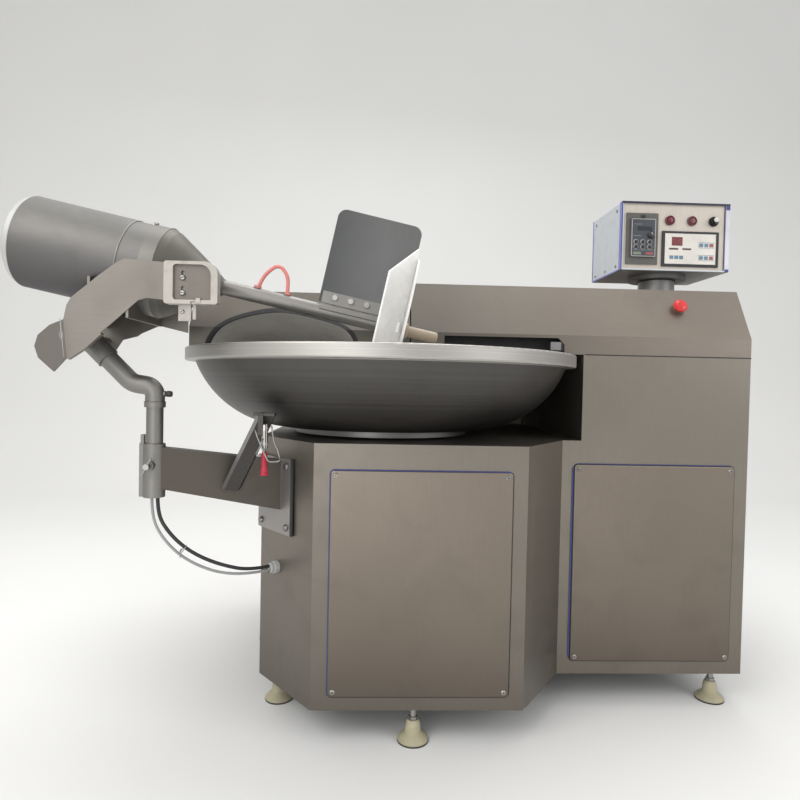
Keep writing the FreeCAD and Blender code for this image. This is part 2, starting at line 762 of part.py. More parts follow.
blade_pitch = blade_thick + blade_gap
pack_length = blade_count * blade_thick + (blade_count - 1) * blade_gap
pack_left = -pack_length / 2
blades = []
spacers = []
for i in range(blade_count):
    x = pack_left + i * blade_pitch
    knife = sickle(x)
    knife.rotate(V(0, 0, 0), V(1, 0, 0), 360.0 / blade_count * i)
    knife.translate(V(0, shaft_y, shaft_z))
    blades.append(knife)
    if i < blade_count - 1:
        spacers.append(ring(blade_hub - 6, shaft_radius + run_fit, V(x + blade_thick, shaft_y, shaft_z),
                            V(x + blade_pitch, shaft_y, shaft_z)))
parts["knife_blades"] = Part.makeCompound(blades)
nut_left = shaft_end + 2
nut_points = [(shaft_y + 50 * math.cos(math.radians(60 * i)), shaft_z + 50 * math.sin(math.radians(60 * i)))
              for i in range(6)]
knife_nut = side(nut_points, nut_left, pack_left)
collar = rod(blade_hub - 4, V(-pack_left, shaft_y, shaft_z), V(-pack_left + 14, shaft_y, shaft_z))
nut_bore = rod(shaft_radius + run_fit, V(nut_left - 1, shaft_y, shaft_z),
               V(-pack_left + 20, shaft_y, shaft_z))
parts["knife_clamps"] = Part.makeCompound([knife_nut.cut(nut_bore), collar.cut(nut_bore)] + spacers)


# Covers: fixed hood on the right, hinged lid on the left, both with the same front
def cover_outline(top, back, fall, depth):
    """Side outline of a cover, drawn in by a wall thickness where depth is set."""
    lean = math.hypot(slope_run, slope_rise)
    run_in = depth * lean / slope_rise
    fold_drop = (run_in - depth) * slope_rise / slope_run
    near = body_front + depth
    ceiling = top - depth
    fold_front = slope_depth(ceiling) + run_in
    rear = back - depth
    return [(near, cabinet_top), (near, cover_lip - fold_drop), (fold_front, ceiling),
            (rear - fall, ceiling), (rear, ceiling - fall), (rear, cabinet_top)]


hood_outer = side(cover_outline(hood_top, body_back, 90, 0), hood_left, cabinet_right)
hood_inner_points = cover_outline(hood_top, body_back, 90, sheet)
hood_inner_points[0] = (hood_inner_points[0][0], cabinet_top - 1)
hood_inner_points[-1] = (hood_inner_points[-1][0], cabinet_top - 1)
hood_cavity = side(hood_inner_points, hood_left + sheet, cabinet_right - sheet)
hood = hood_outer.cut(hood_cavity)
mouth = front([(mouth_left, cabinet_top - 1), (mouth_right, cabinet_top - 1),
               (mouth_right, mouth_top - mouth_chamfer), (mouth_right - mouth_chamfer, mouth_top),
               (mouth_left, mouth_top)], body_front - 1, body_front + sheet + 1)
hood = hood.cut(mouth)
hood = hood.cut(rod(spindle_radius + 12, V(hood_left - 1, shaft_y, shaft_z),
                    V(hood_left + sheet + 1, shaft_y, shaft_z)))
hood = hood.cut(block(hood_left - 1, hood_left + sheet + 1, shaft_y - spindle_radius - 12,
                      shaft_y + spindle_radius + 12, cabinet_top - 1, shaft_z))
flap = block(mouth_left - 8, mouth_right + 8, body_front + flap_back, body_front + flap_back + flap_thick,
             cabinet_top + 1, hood_top)
parts["hood_flap"] = flap.common(hood_cavity)
wiper_left = mouth_right - 40
wiper = block(wiper_left, mouth_right + 18, body_front + sheet, body_front + sheet + 14, 1021, 1046)
wiper = wiper.makeFillet(6, [e for e in wiper.Edges
                             if e.CenterOfMass.x < wiper_left + 6 and abs(e.Length - 14) < 0.1])
parts["bowl_wiper"] = wiper

lid_outer = side(cover_outline(lid_top, lid_back, lid_back_fall, 0), lid_left, lid_right)
lid_inner_points = cover_outline(lid_top, lid_back, lid_back_fall, sheet)
lid_inner_points[0] = (lid_inner_points[0][0], cabinet_top - 1)
lid_inner_points[-1] = (lid_inner_points[-1][0], cabinet_top - 1)
lid_cavity = side(lid_inner_points, lid_left + sheet, lid_right - sheet)
hump_axis_left = V(hump_left, shaft_y, shaft_z)
hump_axis_right = V(lid_right, shaft_y, shaft_z)
above = block(hump_left - 1, lid_right + 1, body_front, lid_back,
              lid_top - sheet - 1, shaft_z + hump_radius + 1)
hump_outer = rod(hump_radius, hump_axis_left, hump_axis_right).common(above)
hump_inner = rod(hump_radius - sheet, hump_axis_left + V(sheet, 0, 0), hump_axis_right - V(sheet, 0, 0))
lid = lid_outer.fuse(hump_outer).removeSplitter()
lid = lid.cut(lid_cavity)
hump_inner = hump_inner.common(block(hump_left, lid_right, body_front, lid_back,
                                     cover_lip, shaft_z + hump_radius))
lid = lid.cut(hump_inner)
lid = lid.cut(rod(shaft_slot, V(lid_right - 2 * sheet, shaft_y, shaft_z), V(lid_right + 1, shaft_y, shaft_z)))
lid = lid.cut(block(lid_right - 2 * sheet, lid_right + 1, shaft_y - shaft_slot, shaft_y + shaft_slot,
                    cabinet_top - 1, shaft_z))

# Arch over the bowl's left side, where the meat passes under the lid
arch_points = [(-492, 1024), (-445, 1082), (-381, 1110), (-300, 1125), (-215, 1114),
               (-142, 1092), (-97, 1071), (-70, 1030)]


arch_middle = (arch_points[0][0] + arch_points[-1][0]) / 2


def arch_face(points, drop, y):
    """Face under an arch outline that is drawn in towards its own middle by a drop."""
    middle = V(arch_middle, y, cabinet_top)
    ring_points = []
    for x, z in points:
        point = V(x, y, z)
        ring_points.append(point + (middle - point).normalize() * drop)
    curve = Part.BSplineCurve()
    curve.interpolate(ring_points)
    first = V(ring_points[0].x - 2, y, cabinet_top - 2)
    last = V(ring_points[-1].x + 2, y, cabinet_top - 2)
    edges = [line(first, ring_points[0]), curve.toShape(), line(ring_points[-1], last), line(last, first)]
    return Part.Face(Part.Wire(edges))


arch_depth = slope_depth(lid_top) - body_front + 40
arch_cutter = arch_face(arch_points, 0, body_front - 20).extrude(V(0, arch_depth, 0))
lid = lid.cut(arch_cutter)
seal_band = arch_face(arch_points, 0, body_front - 20).cut(arch_face(arch_points, seal_width, body_front - 20))
seal_band = seal_band.extrude(V(0, arch_depth, 0))
skin_outer = [(body_front - seal_proud, cabinet_top), (body_front - seal_proud, cover_lip),
              (slope_depth(lid_top) - seal_proud, lid_top)]
skin_inner = [(slope_depth(lid_top) + sheet + seal_proud, lid_top),
              (body_front + sheet + seal_proud, cover_lip),
              (body_front + sheet + seal_proud, cabinet_top)]
skin = side(skin_outer + skin_inner, lid_left, lid_right)
parts["arch_seal"] = seal_band.common(skin)

# Roof of the tunnel behind the arch: it falls towards the knives and presses the meat down
roof_back = 140.0
roof_narrow = 0.8          # width and height left at the back end of the roof
roof_low = 0.32
roof_sheet = 2.0
roof_points = [(arch_middle + (x - arch_middle) * roof_narrow, cabinet_top + (z - cabinet_top) * roof_low)
               for x, z in arch_points]


def tunnel_loft(drop):
    front_wire = arch_face(arch_points, drop, body_front + sheet).OuterWire
    back_wire = arch_face(roof_points, drop, roof_back).OuterWire
    return Part.makeLoft([front_wire, back_wire], True, True)


roof = tunnel_loft(1.0).cut(tunnel_loft(1.0 + roof_sheet)).common(lid_cavity)
roof = roof.common(block(lid_left, lid_right, body_front, roof_back - 1, cabinet_top + 2, lid_top))
parts["tunnel_roof"] = roof.cut(parts["arch_seal"])

# Lid hinges: knuckles on the lid between lugs on the rear housing
pins = []
lugs = []
for x in (-270.0, -60.0):
    centre = V(x, hinge_y, hinge_z)
    half_leaf = hinge_leaf / 2
    knuckle = rod(hinge_eye, centre - V(half_leaf, 0, 0), centre + V(half_leaf, 0, 0))
    leaf = block(x - half_leaf, x + half_leaf, lid_back - 1, hinge_y, hinge_z - 9, hinge_z + 9)
    lid = lid.fuse([knuckle, leaf])
    lid = lid.cut(rod(hinge_pin + run_fit, centre - V(50, 0, 0), centre + V(50, 0, 0)))
    for sign in (-1, 1):
        inner_x = x + sign * (half_leaf + seat_gap)
        outer_x = inner_x + sign * hinge_lug
        left_x, right_x = min(inner_x, outer_x), max(inner_x, outer_x)
        lug = block(left_x, right_x, hinge_y - hinge_eye, hinge_y + hinge_eye, cabinet_top, hinge_z)
        eye = rod(hinge_eye, V(left_x, hinge_y, hinge_z), V(right_x, hinge_y, hinge_z))
        lug = lug.fuse(eye).cut(rod(hinge_pin + run_fit, V(left_x - 1, hinge_y, hinge_z),
                                    V(right_x + 1, hinge_y, hinge_z)))
        lugs.append(lug)
    reach = half_leaf + hinge_lug + 6
    pin = rod(hinge_pin, centre - V(reach, 0, 0), centre + V(reach - 4, 0, 0))
    head = rod(hinge_pin + 4, centre + V(reach - 5.6, 0, 0), centre + V(reach + 2, 0, 0))
    pins.append(pin.fuse(head).removeSplitter())
parts["lid_shell"] = lid.removeSplitter()
parts["rear_housing"] = union([parts["rear_housing"]] + lugs)
parts["hinge_pins"] = Part.makeCompound(pins)

# Support beam: bracket plate on the pedestal chamfer, tapered box beam, column sleeve
plate_points = [on_chamfer(bracket_start, 0), on_chamfer(1.0, 0),
                on_chamfer(1.0, 0, bracket_thick), on_chamfer(bracket_start, 0, bracket_thick)]
bracket = plan([(p.x, p.y) for p in plate_points], bracket_bottom, bracket_top)
bolt_shares = (bracket_start + 0.07, 0.93)
beam_bolts = []
for share in bolt_shares:
    for z in (bracket_bottom + 20, bracket_top - 20):
        spot = on_chamfer(share, z, bracket_thick)
        hole = rod(5.3, spot - chamfer_out * 40, spot + chamfer_out)
        bracket = bracket.cut(hole)
        pedestal = pedestal.cut(hole)
        beam_bolts.append(screw(spot, chamfer_out, 5.0, 9.0, 7.0, 28.0))
column = V(column_x, column_y, 0)
beam_long = 420.0
beam_points = [(0, 652), (0, 753), (beam_long, 694), (beam_long, 552)]
beam = front([(column_x + a, b) for a, b in beam_points],
             column_y - beam_width / 2, column_y + beam_width / 2)
core_points = inset([(column_x + a, b) for a, b in beam_points], beam_wall)
core = front(core_points, column_y - beam_width / 2 + beam_wall, column_y + beam_width / 2 - beam_wall)
for shape in (beam, core):
    shape.rotate(column, V(0, 0, 1), beam_angle)
beam_stop = [on_chamfer(-2.0, 0, bracket_thick), on_chamfer(3.0, 0, bracket_thick),
             on_chamfer(3.0, 0, -600), on_chamfer(-2.0, 0, -600)]
stop_block = plan([(p.x, p.y) for p in beam_stop], 0, 1200)
sleeve_space = rod(sleeve_radius, V(column_x, column_y, 500), V(column_x, column_y, 900))
beam_outer = beam
beam = beam.cut(core).cut(stop_block).cut(sleeve_space)
parts["support_beam"] = union([bracket, beam])

sleeve = ring(sleeve_radius, column_radius + run_fit, V(column_x, column_y, sleeve_bottom),
              V(column_x, column_y, sleeve_top))
strip = block(column_x - sleeve_radius - 9, column_x - sleeve_radius + 3, column_y - 6, column_y + 6,
              sleeve_bottom, sleeve_top)
strip = strip.cut(sleeve_space)
clamp_z = 708.0
clamp_boss = rod(11, V(column_x, column_y - sleeve_radius - 12, clamp_z),
                 V(column_x, column_y - sleeve_radius + 3, clamp_z))
clamp_boss = clamp_boss.cut(rod(sleeve_radius - 1, V(column_x, column_y, 600), V(column_x, column_y, 800)))
bush_top = sleeve_bottom + 16
bush = rod(column_radius + run_fit, V(column_x, column_y, sleeve_bottom), V(column_x, column_y, bush_top))
parts["column_sleeve"] = union([sleeve, strip, clamp_boss, bush]).cut(
    rod(5 + run_fit, V(column_x, column_y - sleeve_radius - 20, clamp_z),
        V(column_x, column_y - column_radius + 3, clamp_z)))

screw_tip = column_y - column_radius - seat_gap
clamp_outer = column_y - sleeve_radius - 24
clamp_stem = rod(5, V(column_x, clamp_outer, clamp_z), V(column_x, screw_tip, clamp_z))
clamp_head = rod(7, V(column_x, clamp_outer - 10, clamp_z), V(column_x, clamp_outer + 2, clamp_z))
clamp_bar = rod(2.5, V(column_x + 11, clamp_outer - 5, clamp_z + 21),
                V(column_x - 11, clamp_outer - 5, clamp_z - 21))
parts["clamp_screw"] = union([clamp_stem, clamp_head, clamp_bar])

# Column tube and the elbow that turns on it
column_bore = column_radius - 4
parts["column_tube"] = ring(column_radius, column_bore, V(column_x, column_y, column_bottom),
                            V(column_x, column_y, column_top))
elbow_low = 848.0
elbow_points = [V(tilt_x, column_y, tilt_z), V(-613, column_y, 906), V(column_x, column_y, 898),
                V(column_x, column_y, elbow_low)]
elbow_bends = [44.0, 26.0]
elbow = tube(elbow_points, elbow_bends, elbow_radius)
foot_sleeve = rod(elbow_radius + 2, V(column_x, column_y, elbow_low), V(column_x, column_y, elbow_low + 12))
along = (elbow_points[1] - elbow_points[0]).normalize()
neck = rod(elbow_collar, elbow_points[0] + along * 12, elbow_points[0] + along * 68)
eye_half = 34.0
eye = rod(tilt_eye, V(tilt_x, column_y - eye_half, tilt_z), V(tilt_x, column_y + eye_half, tilt_z))
elbow = union([elbow, foot_sleeve, neck, eye])
elbow = elbow.cut(rod(tilt_pin + run_fit, V(tilt_x, column_y - 60, tilt_z), V(tilt_x, column_y + 60, tilt_z)))
elbow = elbow.cut(rod(column_radius + run_fit, V(column_x, column_y, elbow_low - 1),
                      V(column_x, column_y, column_top + seat_gap)))
knob_z = 881.0
knob_boss = rod(7, V(column_x + elbow_radius - 4, column_y, knob_z),
                V(column_x + elbow_radius + 3, column_y, knob_z))
knob_boss = knob_boss.cut(rod(column_radius + 1, V(column_x, column_y, elbow_low), V(column_x, column_y, column_top + 10)))
elbow = elbow.fuse(knob_boss)
elbow = elbow.cut(rod(4 + run_fit, V(column_x + 10, column_y, knob_z), V(column_x + 60, column_y, knob_z)))
parts["elbow_arm"] = elbow.removeSplitter()
knob_tip = column_x + column_radius + seat_gap
knob_stem = rod(4, V(knob_tip, column_y, knob_z), V(column_x + elbow_radius + 8, column_y, knob_z))
knob_profile = [(0, 0), (5, 0), (7, 1.5), (7.5, 4), (7.5, 11), (6, 14), (0, 14.5)]
knob_head = turned(knob_profile, V(column_x + elbow_radius + 4, column_y, knob_z), V(1, 0, 0))
parts["knob_screw"] = union([knob_stem, knob_head])
parts["tilt_pin"] = union([
    rod(tilt_pin, V(tilt_x, arm_front + 2, tilt_z), V(tilt_x, arm_back + 3, tilt_z)),
    rod(tilt_pin + 6, V(tilt_x, arm_back + seat_gap, tilt_z), V(tilt_x, arm_back + 9, tilt_z)),
])

# Unloader parts are drawn along the pipe, with the disc at the origin, then aimed
disc_point = V(disc_x, column_y, disc_z)


def aim(shape):
    """Turn a shape drawn along X down by the pipe's fall and move it to the disc."""
    turn = FreeCAD.Rotation(V(0, 1, 0), pipe_drop)
    shape.Placement = FreeCAD.Placement(disc_point, turn).multiply(shape.Placement)
    return shape


shoulder_x = cone_end + 33
cone_profile = [
    (drive_radius + run_fit, cone_start), (pipe_radius + 1, cone_start), (49, cone_start - 41),
    (102.5, cone_start - 124), (can_radius, shoulder_x), (can_radius, cone_end),
    (drive_radius + run_fit, cone_end),
]
cone = turned(cone_profile, V(0, 0, 0), V(1, 0, 0))
cone_solid = aim(turned([(0, cone_start)] + cone_profile[1:-1] + [(0, cone_end)], V(0, 0, 0), V(1, 0, 0)))
pipe_socket = rod(pipe_radius + run_fit, V(cone_start - 20, 0, 0), V(cone_start + 1, 0, 0))
parts["reducer_cone"] = aim(cone.cut(pipe_socket))
case_profile = [(0, cone_end), (can_radius - 2, cone_end), (can_radius - 2, case_end), (0, case_end)]
can_profile = [(0, case_end), (can_radius, case_end), (can_radius, motor_end),
               (can_radius - 6, motor_end - 14), (can_radius * 0.78, motor_end - dome_depth * 0.72),
               (can_radius * 0.42, motor_end - dome_depth), (0, motor_end - dome_depth)]
gear_case = aim(turned(case_profile, V(0, 0, 0), V(1, 0, 0)))
motor_can = aim(turned(can_profile, V(0, 0, 0), V(1, 0, 0)))
parts["unloader_motor"] = Part.makeCompound([gear_case, motor_can])
pipe_end = disc_left - 5
pipe = ring(pipe_radius, drive_radius + run_fit, V(cone_start - 20, 0, 0), V(pipe_end, 0, 0))
disc_right = disc_left + disc_thick
disc = ring(disc_radius, drive_radius + run_fit, V(disc_left, 0, 0), V(disc_right, 0, 0))
disc = disc.makeFillet(1.5, [e for e in disc.Edges if e.Length > disc_radius * 5])
parts["discharge_disc"] = aim(disc)
nose_profile = [(0, cone_start - 18), (drive_radius, cone_start - 18), (drive_radius, disc_right),
                (nose_radius + 6, disc_right), (nose_radius + 6, disc_right + 8),
                (nose_radius, disc_right + 12), (nose_radius, disc_right + nose_length - 4),
                (nose_radius - 4, disc_right + nose_length), (0, disc_right + nose_length)]
parts["disc_shaft"] = aim(turned(nose_profile, V(0, 0, 0), V(1, 0, 0)))

# Baffle plate standing on the pipe, its saddle bracket and bolts
baffle_left, baffle_right = -225.0, disc_left - 4
baffle_low, baffle_high = 23.0, 256.0
baffle = block(baffle_left, baffle_right, -baffle_thick / 2, baffle_thick / 2, baffle_low, baffle_high)
baffle = baffle.makeFillet(22, [e for e in baffle.Edges
                                if abs(e.Length - baffle_thick) < 0.01 and e.CenterOfMass.z > baffle_high - 1])
saddle_left, saddle_right = -218.0, -59.0
saddle_wrap = ring(pipe_radius + 4, pipe_radius - 1, V(saddle_left, 0, 0), V(saddle_right, 0, 0))
saddle_wrap = saddle_wrap.common(block(saddle_left, saddle_right, -40, 40, 4, 60))
bracket_leg = block(saddle_left, saddle_right, -baffle_thick / 2 - 4, -baffle_thick / 2, pipe_radius + 1, 50)
saddle_part = union([saddle_wrap, bracket_leg])
baffle_bolts = []
for s in (-187.0, -147.0, -107.0):
    hole = rod(3.3, V(s, -20, 38), V(s, 20, 38))
    baffle = baffle.cut(hole)
    saddle_part = saddle_part.cut(hole)
    baffle_bolts.append(screw(V(s, -baffle_thick / 2 - 4, 38), V(0, -1, 0), 3.0, 7.0, 4.0, 12.0))
parts["baffle_plate"] = aim(baffle)
parts["unloader_pipe"] = aim(union([pipe, saddle_part]))

# Scraper wing: an upright blade that leans forward from the disc
wing_thick = 6.0
wing_reach = 81.0
wing = front([(0, -180), (0, 200), (-wing_reach, 121), (-wing_reach, -143), (-wing_reach * 0.6, -176)],
             -wing_thick / 2, wing_thick / 2)
wing.rotate(V(0, 0, 0), V(0, 0, 1), 45)
wing.translate(V(disc_left - 3, -pipe_radius - 3, 0))
arm_link = block(disc_left - 34, disc_left - 8, -pipe_radius - 18, -pipe_radius + 1, -12, 12)
wing = wing.fuse(arm_link).removeSplitter()
wing = wing.cut(rod(pipe_radius + run_fit, V(-200, 0, 0), V(0, 0, 0)))
parts["scraper_wing"] = aim(wing)

# Lifting loop on the pipe
loop_points = [V(-377, 0, 14), V(-367, 0, 56), V(-338, 0, 88), V(-310, 0, 63), V(-302, 0, 14)]
loop_bar = tube(loop_points, bend_radii(loop_points), 4.5)
loop_feet = [rod(9, V(s, 0, 14), V(s, 0, 24)) for s in (-377, -302)]
loop = union([loop_bar] + loop_feet)
loop = loop.cut(rod(pipe_radius + run_fit, V(-400, 0, 0), V(-260, 0, 0)))
parts["lift_loop"] = aim(loop)

# Arm: two side plates, a folded end and cradle ribs under the motor
front_outline = [(-715, 962), (-724, 1048), (-718, 1079), (-706, 1098), (-652, 1144), (-608, 1178),
                 (-590, 1187), (box_left, 1181), (box_left, 1096), (-541, 1100), (-559, 1094),
                 (-642, 1019), (-676, 988)]
rear_outline = [(-715, 964), (-756, 971), (-756, 1056), (-710, 1101), (-613, 1178), (-513, 1178),
                (-513, 1039), (-587, 1056), (-633, 1035), (-644, 1027), (-681, 1017)]
front_plate = front(front_outline, arm_front, arm_front + arm_sheet)
rear_plate = front(rear_outline, arm_back - arm_sheet, arm_back)
can_space = aim(rod(can_radius, V(motor_end - 60, 0, 0), V(case_end, 0, 0)))
case_space = aim(rod(can_radius - 2, V(case_end - 1, 0, 0), V(cone_end + 1, 0, 0)))
web = front([(-724, 1048), (-718, 1079), (-710, 1096), (-706, 1095), (-714, 1078), (-720, 1047)],
            arm_front + arm_sheet / 2, arm_back - arm_sheet / 2)
ribs = []
for x in (-670.0, -584.0):
    axis_z = disc_z - (x - disc_x) * math.tan(math.radians(pipe_drop))
    ribs.append(block(x - 3, x + 3, arm_front + arm_sheet / 2, arm_back - arm_sheet / 2,
                      axis_z - 130, axis_z - 57))
flange_points = [(-724, 1047), (-765, 1035), (-802, 1012), (-813, 987), (-802, 960), (-756, 929),
                 (-715, 962)]
fold = front(flange_points, arm_front, arm_front + arm_sheet)
fold_top = V(-724, arm_front + arm_sheet / 2, 1048)
fold_foot = V(-715, arm_front + arm_sheet / 2, 962)
fold.rotate(fold_top, fold_top - fold_foot, -22)
fold_bend = rod(arm_sheet / 2, fold_foot, fold_top)
lip_points = [(-715, 962), (-676, 988), (-642, 1019), (-640, 1016), (-674, 984), (-714, 957)]
lower_lip = front(lip_points, arm_front, arm_front + 16)
arm = union([front_plate, rear_plate, web, fold, fold_bend, lower_lip] + ribs)
for space in (can_space, case_space, cone_solid):
    arm = arm.cut(space)
pin_boss = rod(tilt_pin + 7, V(tilt_x, arm_front + arm_sheet, tilt_z), V(tilt_x, arm_front + 3 * arm_sheet, tilt_z))
arm = arm.fuse(pin_boss)
arm = arm.cut(rod(tilt_pin + run_fit, V(tilt_x, arm_front + 2, tilt_z), V(tilt_x, arm_back + 20, tilt_z)))

# Mounting box bolted to the front of the cone
rim_wall = 9.0
fold_width = 20.0
tray_back = box_front + box_depth_front
recess_depth = 8.0


def plate_corners(shape, depth, x, z):
    """Edges through a plate's thickness near one of its corners."""
    return [e for e in shape.Edges if abs(e.Length - depth) < 0.01
            and math.hypot(e.CenterOfMass.x - x, e.CenterOfMass.z - z) < 1]


tray = block(box_left, box_right, box_front, tray_back, box_bottom, box_top)
tray = tray.makeFillet(30, plate_corners(tray, box_depth_front, box_right, box_top))
for x, z in ((box_left, box_bottom), (box_left, box_top), (box_right, box_bottom)):
    tray = tray.makeFillet(6, plate_corners(tray, box_depth_front, x, z))
recess_left, recess_right = box_left + fold_width, box_right - 2 * rim_wall + 3
recess_low, recess_high = box_bottom + rim_wall, box_top - rim_wall + 2
recess = block(recess_left, recess_right, box_front, box_front + recess_depth, recess_low, recess_high)
recess = recess.makeFillet(24, plate_corners(recess, recess_depth, recess_right, recess_high))
for x, z in ((recess_left, recess_low), (recess_left, recess_high)):
    recess = recess.makeFillet(7, plate_corners(recess, recess_depth, x, z))
tray = tray.cut(recess)
notch_left = (box_left + box_right) / 2
tray = tray.cut(block(notch_left, notch_left + 12, box_front - 1, box_front + 4, box_bottom - 1, box_bottom + 6))
notch_tab = block(notch_left + 12, notch_left + 22, box_front - 2, box_front + recess_depth + 1,
                  box_bottom + 2, box_bottom + rim_wall + 4)
boss = block(box_left + 10, box_right - 22, tray_back - 1, column_y - 30, box_bottom + 14, box_top - 12)
mount = union([tray, notch_tab, boss])
box_bolts = []
bolt_x = box_left + 40
for z in (box_top - 36, box_top - 70):
    spot = V(bolt_x, box_front + recess_depth, z)
    slot = block(bolt_x - 4, bolt_x + 4, spot.y - 1, spot.y + 8, z, z + 12)
    slot_end = rod(4, V(bolt_x, spot.y - 1, z + 12), V(bolt_x, spot.y + 8, z + 12))
    mount = mount.cut(slot).cut(slot_end)
    mount = mount.cut(rod(5.2, spot - V(0, 1, 0), spot + V(0, 22, 0)))
    box_bolts.append(screw(spot, V(0, -1, 0), 5.0, 6.6, 5.0, 20.0))
hanger_front = box_front + 14
for left, right, reach in ((29, 57, 37), (61, 68, 33)):
    mount = mount.fuse(block(box_left + left, box_left + right, hanger_front, hanger_front + 6,
                             box_bottom - reach, box_bottom + 2))
hanger_hole = V(box_left + 38, hanger_front, box_bottom - 16)
box_bolts.append(screw(hanger_hole, V(0, -1, 0), 3.0, 5.0, 4.0, 5.0))
mount = mount.cut(rod(3.2, hanger_hole, hanger_hole + V(0, 16, 0)))
mount = mount.cut(cone_solid)
mount_pieces = sorted(mount.Solids, key=lambda s: s.Volume)
parts["mount_box"] = mount_pieces[-1]
parts["arm_shell"] = arm.cut(block(box_left, box_right, box_front, column_y, box_bottom - 40, box_top + 20))
parts["unloader_bolts"] = Part.makeCompound(box_bolts + [aim(b) for b in baffle_bolts])

# Latch strut on the beam, with its toggle handle
strut_low = V(-377, -327, 641)
strut_high = V(-274, -404, 837)
strut_half = V(16, 3, -2)
strut_face = [strut_low - strut_half, strut_low + strut_half, strut_high + strut_half, strut_high - strut_half]
strut = Part.Face(Part.makePolygon(strut_face + strut_face[:1])).extrude(V(0, 5, 4))
leg = V(-13, 22, 0)
leg_face = [strut_face[0], strut_face[3], strut_face[3] + leg, strut_face[0] + leg]
strut_leg = Part.Face(Part.makePolygon(leg_face + leg_face[:1])).extrude(V(4, 4, 0))
right_leg = V(0, 40, 0)
right_face = [strut_face[1], strut_face[2], strut_face[2] + right_leg * 0.25, strut_face[1] + right_leg]
strut_right = Part.Face(Part.makePolygon(right_face + right_face[:1])).extrude(V(-4, 0, 0))
ledge = block(-308, -257, -416, -388, 835, 841)
clamp_pivot = V(-283, -412, 806)
clamp_base = block(clamp_pivot.x - 12, clamp_pivot.x, clamp_pivot.y - 10, clamp_pivot.y + 28,
                   clamp_pivot.z - 16, clamp_pivot.z + 30)
strut = union([strut, strut_leg, strut_right, ledge, clamp_base])
strut = strut.cut(rod(4 + run_fit, clamp_pivot - V(20, 0, 0), clamp_pivot + V(20, 0, 0)))
strut = strut.cut(beam_outer)
parts["latch_strut"] = strut
handle_left = clamp_pivot.x + seat_gap
lever_outline = [(-8, 8), (7, 8), (10, -6), (3, -62), (-4, -62), (-9, -6)]
lever = side([(clamp_pivot.y + a, clamp_pivot.z + b) for a, b in lever_outline], handle_left, handle_left + 5)
pivot_pin = rod(4, clamp_pivot - V(13, 0, 0), V(handle_left + 8, clamp_pivot.y, clamp_pivot.z))
grip_profile = [(0, 0), (5, 1), (7, 8), (7, 38), (9, 46), (8, 52), (0, 54)]
grip = turned(grip_profile, V(handle_left + 2.5, clamp_pivot.y, clamp_pivot.z - 55), V(0, 0, -1))
parts["clamp_handle"] = union([lever, pivot_pin, grip])

# Control box on its post
post_top = box_base - 12
post_foot = hood_top + 6
post = rod(post_radius, V(panel_x, post_y, hood_top), V(panel_x, post_y, post_top))
post_ring = rod(post_radius + 12, V(panel_x, post_y, hood_top), V(panel_x, post_y, post_foot))
pivot_stub = rod(20, V(panel_x, post_y, post_top), V(panel_x, post_y, box_base + 16))
parts["control_post"] = union([post, post_ring, pivot_stub])
half_width = box_width / 2
case = block(panel_x - half_width, panel_x + half_width, box_face, box_face + box_depth, box_base, box_lid)
case = case.makeFillet(3, [e for e in case.Edges if abs(e.CenterOfMass.y - box_face) > 1])
face_pocket = block(panel_x - half_width + 5, panel_x + half_width - 5, box_face - 1, box_face + 5,
                    box_base + 5, box_lid - 5)
flange = rod(flange_radius, V(panel_x, post_y, post_top), V(panel_x, post_y, box_base))
case = union([case.cut(face_pocket), flange])
case = case.cut(rod(20 + run_fit, V(panel_x, post_y, post_top - 1), V(panel_x, post_y, box_base + 17)))
face_y = box_face + 5

keypad_x = panel_x - 102.5
keypad_frame = block(keypad_x - 48, keypad_x + 48, face_y - 6, face_y, box_base + 18, box_base + 171)
keypad_unit = block(keypad_x - 37, keypad_x + 37, face_y - 13, face_y - 6, box_base + 39, box_base + 153)
keypad_unit = keypad_unit.makeFillet(2, [e for e in keypad_unit.Edges if e.CenterOfMass.y < face_y - 12])
keypad = union([keypad_frame, keypad_unit])
membrane_x = panel_x + 46.5
membrane_frame = block(membrane_x - 87, membrane_x + 87, face_y - 5, face_y, box_base + 14, box_base + 120)
membrane_window = block(membrane_x - 79, membrane_x + 79, face_y - 6, face_y - 3, box_base + 22, box_base + 114)
membrane = membrane_frame.cut(membrane_window)


def push_button(x, z):
    """Lamp button: a bezel fixed in the box and a cap that travels in it."""
    bezel = ring(14, 9 + run_fit, V(x, face_y - 5, z), V(x, face_y, z))
    cap_top = face_y - 9
    profile = [(0, 0), (9, 0), (9, 14), (7.5, 16), (0, 17)]
    cap = turned(profile, V(x, face_y + 8, z), V(0, -1, 0))
    return bezel, cap


button_z = box_lid - 54
button_spots = {"start_button": (panel_x - 17.5, button_z), "stop_button": (panel_x + 50.5, button_z)}
bezels = []
for name, (x, z) in button_spots.items():
    bezel, cap = push_button(x, z)
    bezels.append(bezel)
    parts[name] = cap
    case = case.cut(rod(9 + run_fit, V(x, face_y - 1, z), V(x, face_y + 14, z)))
selector_x, selector_z = panel_x + 116.5, button_z
bezels.append(ring(14, 8 + run_fit, V(selector_x, face_y - 4, selector_z), V(selector_x, face_y, selector_z)))
case = case.cut(rod(8 + run_fit, V(selector_x, face_y - 1, selector_z), V(selector_x, face_y + 12, selector_z)))
selector = turned([(0, 0), (8, 0), (8, 15), (11, 16), (11, 22), (0, 22)],
                  V(selector_x, face_y + 10, selector_z), V(0, -1, 0))
selector_grip = block(selector_x - 3, selector_x + 3, face_y - 20, face_y - 11, selector_z - 10, selector_z + 10)
parts["selector_knob"] = union([selector, selector_grip])
parts["control_panels"] = Part.makeCompound([keypad, membrane] + bezels)
parts["control_box"] = case

